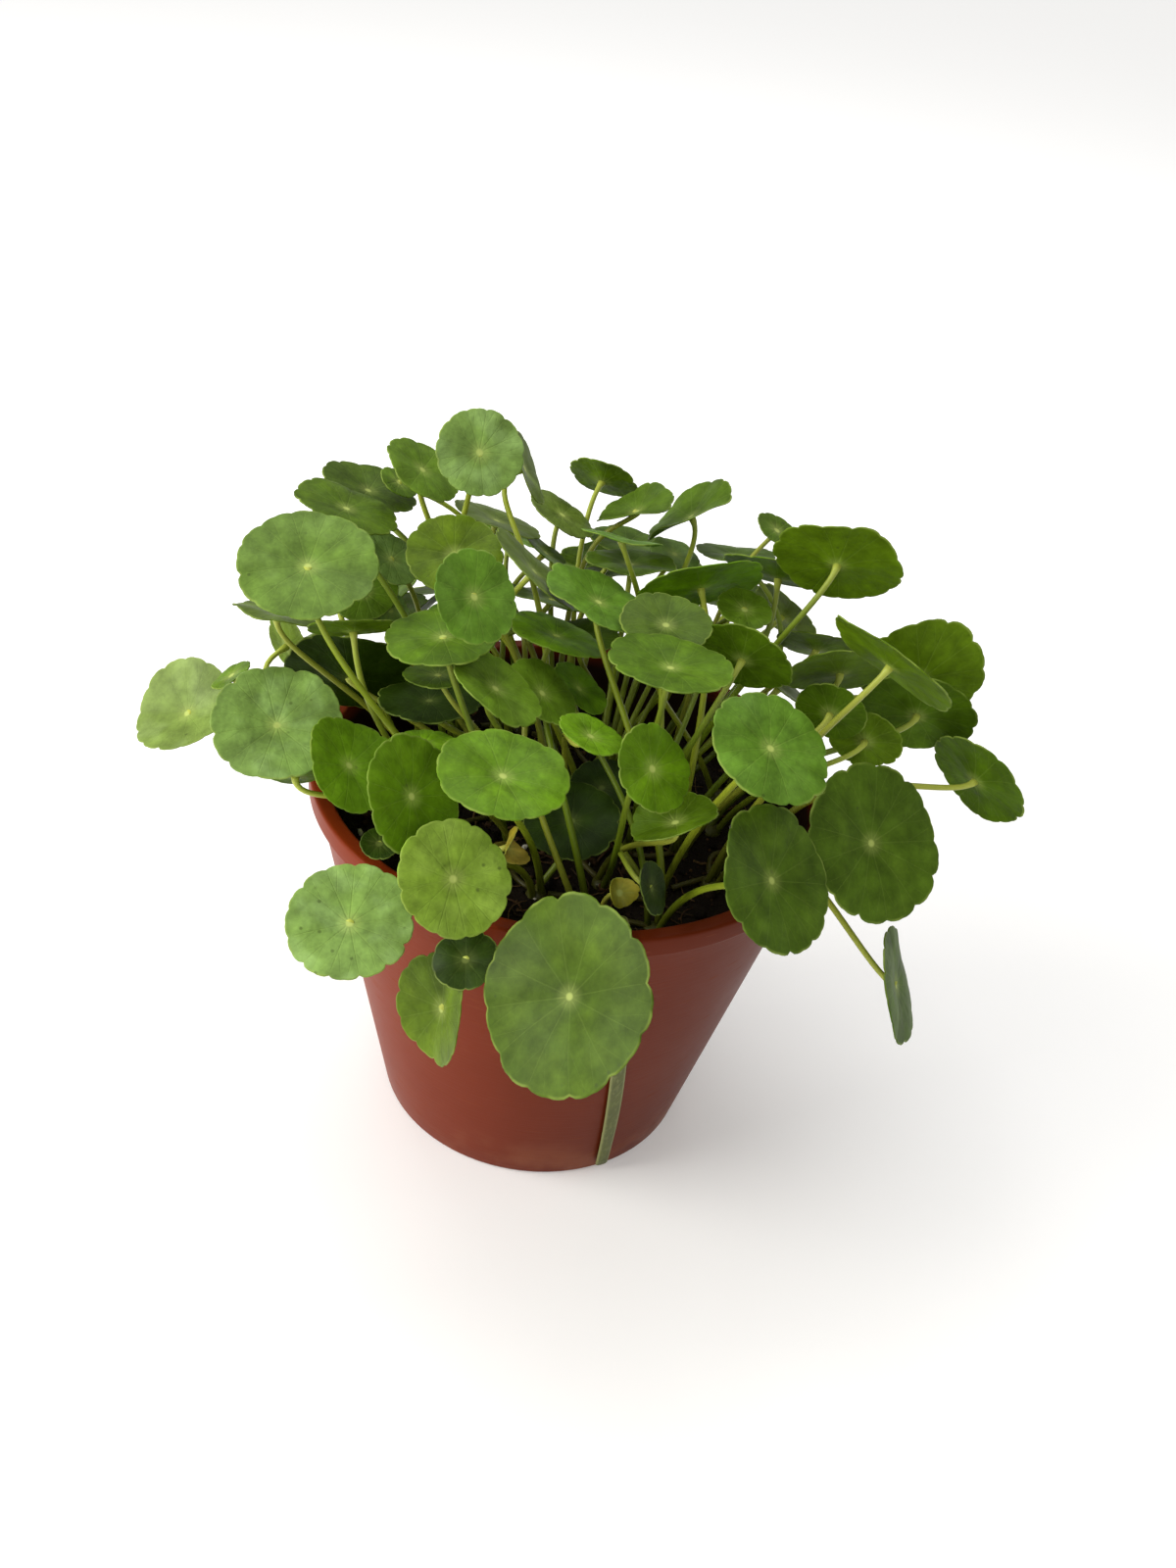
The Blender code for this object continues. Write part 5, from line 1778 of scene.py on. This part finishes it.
def make_stalk_material():
    material, net, shader = new_material("stalk", STALK_SURFACE)
    clouds = use_group(net, mottle, Colour=net.tone(), Size=0.012, Amount=0.14)
    # painted shade: the lower part of each stalk, in the shade of the leaves, turns dark
    foot = net.times(net.rise(net.value("along"), *SHADED_FOOT), FOOT_SHADE_SHARE)
    green = net.mix(foot, clouds["Colour"], STALK_SHADE)
    green = net.mix(net.times(net.value("top"), PALE_SHARE), green, STALK_PALE)
    net.feed(shader["Base Color"], green)
    net.feed(shader["Normal"], net.bump(clouds["Pattern"], *STALK_BUMP))
    return material


stalk_material = make_stalk_material()
print("material:", stalk_material.name)

# %% [markdown]
# Moist potting soil is nearly black, and the drier crumbs and the perlite on top are lighter and
# duller. One material serves all of them, since each lump carries its own colour.

# %% Material: soil
SOIL_SURFACE = {"Specular IOR Level": 0.12}
SOIL_ROUGHNESS = (0.2, 0.72)
SOIL_GRAIN = (700.0, 4.0)
SOIL_BUMP = (0.0009, 0.9)


def make_soil_material():
    material, net, shader = new_material("soil", SOIL_SURFACE)
    clouds = use_group(net, mottle, Colour=net.tone(), Size=0.004, Amount=0.3)
    net.feed(shader["Base Color"], clouds["Colour"])
    net.feed(shader["Roughness"], net.line(net.value("dry"), *SOIL_ROUGHNESS))
    net.feed(shader["Normal"], net.bump(net.noise(net.place(), *SOIL_GRAIN), *SOIL_BUMP))
    return material


soil_material = make_soil_material()
print("material:", soil_material.name)

# %% [markdown]
# The pot is thin terracotta-coloured plastic. Its right side, away from the window, is painted a
# darker red as painted shade. It is satin, with faint clouds in its colour, fine scratches that run
# mostly round it and a little dust low down. The inner wall above the soil is painted nearly black
# as painted shade, since the plant shades the inside of the pot. The noise for the scratches is
# squashed along the height, so its spots become short level lines.

# %% Material: pot
POT_TONE = srgb(120, 42, 10)
# painted shade: the darker red of the pot's right side
POT_SHADE = srgb(93, 32, 7)
DUST_COLOUR = srgb(150, 92, 62)
# painted shade: the near black of the inner wall above the soil
INSIDE_SHADE = srgb(34, 22, 13)
POT_SURFACE = {"Specular IOR Level": 0.09}
POT_ROUGHNESS = (0.16, 0.34)
# a pair is the two values that a mask rises between; levels and reaches are millimetres
SHADE_SIDE_EDGE = (-0.07, 0.05)
SHADE_SIDE_RAGGED = 0.06
SCRATCH_STRETCH = (1, 1, 14)
SCRATCH_NOISE = (90.0, 4.0)
SCRATCH_EDGE = (0.64, 0.70)
SCRATCH_STRENGTH = 0.35
SCRATCH_SHARE = 0.5
DUST_LEVELS = (26.0, 2.0)
DUST_PATCHES = (60.0, 4.0, 0.42, 0.7)
DUST_SHARE = 0.35
# the painted shade of the inner wall covers only what lies inside a cone: its reach at the foot,
# and how much that grows per millimetre up
INSIDE_SHADE_FOOT = 46.3
INSIDE_SHADE_SLOPE = 0.2216
INSIDE_SHADE_EDGE = (0.2, 0.8)
INSIDE_SHADE_LEVELS = (116.5, 111.0)
INSIDE_SHADE_SHARE = 0.98
POT_BUMP = (0.00012, 0.35)


def make_pot_material():
    material, net, shader = new_material("pot", POT_SURFACE)
    place = net.place()
    axes = net.split(place)
    level = net.times(axes["Z"], 1 / MM)
    squares = [net.math("POWER", axes[name], 2.0) for name in "XY"]
    reach = net.times(net.math("SQRT", net.math("ADD", *squares)), 1 / MM)
    clouds = use_group(net, mottle, Colour=POT_TONE, Size=0.03, Amount=0.05)
    # painted shade: the right side of the pot, away from the window, is mixed towards a darker red
    shade_side = net.line(net.math("SUBTRACT", clouds["Pattern"], 0.5), SHADE_SIDE_RAGGED, axes["X"])
    base = net.mix(net.rise(shade_side, *SHADE_SIDE_EDGE), clouds["Colour"], POT_SHADE)
    streaks = net.noise(net.stretched(place, SCRATCH_STRETCH), *SCRATCH_NOISE)
    scratches = net.times(net.rise(streaks, *SCRATCH_EDGE), SCRATCH_STRENGTH)
    base = net.mix(net.times(scratches, SCRATCH_SHARE), base, DUST_COLOUR)
    dust = net.times(net.rise(level, *DUST_LEVELS), net.patches(place, *DUST_PATCHES))
    base = net.mix(net.times(dust, DUST_SHARE), base, DUST_COLOUR)
    # painted shade: the inner wall above the soil, which the plant shades, is mixed nearly to black
    wall = net.math("ADD", INSIDE_SHADE_FOOT, net.times(level, INSIDE_SHADE_SLOPE))
    inside = net.rise(net.math("SUBTRACT", wall, reach), *INSIDE_SHADE_EDGE)
    inside_shade = net.times(inside, net.rise(level, *INSIDE_SHADE_LEVELS))
    net.feed(shader["Base Color"], net.mix(net.times(inside_shade, INSIDE_SHADE_SHARE), base, INSIDE_SHADE))
    rough = net.line(clouds["Pattern"], *POT_ROUGHNESS)
    net.feed(shader["Roughness"], net.math("ADD", rough, net.times(scratches, SCRATCH_SHARE)))
    net.feed(shader["Normal"], net.bump(streaks, *POT_BUMP))
    return material


pot_material = make_pot_material()
print("material:", pot_material.name)

# %% [markdown]
# The spent stalk is dull olive with pale, papery edges and fine lines along it. The mesh carries how
# near its edge a point is, so the edges need no picture.

# %% Material: spent stalk
SPENT_EDGE = srgb(136, 138, 82)
SPENT_SURFACE = {"Roughness": 0.6}
SPENT_EDGE_RISE = (0.6, 0.98)
SPENT_EDGE_SHARE = 0.8
SPENT_STRETCH = (1, 1, 0.12)
SPENT_GRAIN = (1500.0, 2.0)
SPENT_LINES = (0.5, 0.7)
SPENT_LINE_SHARE = 0.3
SPENT_BUMP = (0.0004, 0.5)


def make_spent_material():
    material, net, shader = new_material("spent_stalk", SPENT_SURFACE)
    edge = net.times(net.rise(net.grid()["X"], *SPENT_EDGE_RISE), SPENT_EDGE_SHARE)
    clouds = use_group(net, mottle, Colour=SPENT_TONE, Size=0.006, Amount=0.2)
    grain = net.noise(net.stretched(net.place(), SPENT_STRETCH), *SPENT_GRAIN)
    lines = net.times(net.rise(grain, *SPENT_LINES), SPENT_LINE_SHARE)
    tint = net.mix(lines, clouds["Colour"], SPENT_EDGE)
    net.feed(shader["Base Color"], net.mix(edge, tint, SPENT_EDGE))
    net.feed(shader["Normal"], net.bump(grain, *SPENT_BUMP))
    return material


spent_material = make_spent_material()
print("material:", spent_material.name)

# %% [markdown]
# Now the pieces are made. Each tuft gives two: its blades, and its stalks with their crown. Both
# take the place of the tuft's solid, and both ride on the one body, because nothing on the plant is
# hinged.

# %% Make the tufts
def dress(piece, node):
    """Let a piece take the place of a node of the fixed model."""
    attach(piece, "root")
    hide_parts(node)


triangles = 0
for crown_number in tuft_crowns:
    name = tuft_names[crown_number]
    blades = Skin("out", "upper", "pleats")
    stalks = Skin("along", "top")
    for leaf in leaves:
        if owner[leaf.number] == crown_number:
            add_blade(blades, leaf)
            add_stalk(stalks, leaf)
    add_crown(stalks, crowns[crown_number])
    if crown_number in runner_starts:
        far_crown = crowns[crown_number + RUNNER_STEP]
        add_runner(stalks, crowns[crown_number], far_crown, crown_number)
    for part_name, skin, material in (("blades", blades, leaf_material),
                                      ("stalks", stalks, stalk_material)):
        piece = skin.make(f"{name}_{part_name}", material)
        dress(piece, name)
        triangles += 2 * len(piece.data.polygons)
print("tufts made:", len(tuft_crowns), "with at most", triangles, "triangles")

# %% [markdown]
# The rest is one piece each: the bed of soil, the shell of the pot and the skin of the spent stalk.
# They are made after the tufts only because the plant is what one looks at first.

# %% Make the soil, the pot and the spent stalk
dress(make_soil(soil_material), "soil")
dress(make_pot(pot_material), "pot")
dress(make_spent_stalk(spent_material), "spent_stalk")

# %% [markdown]
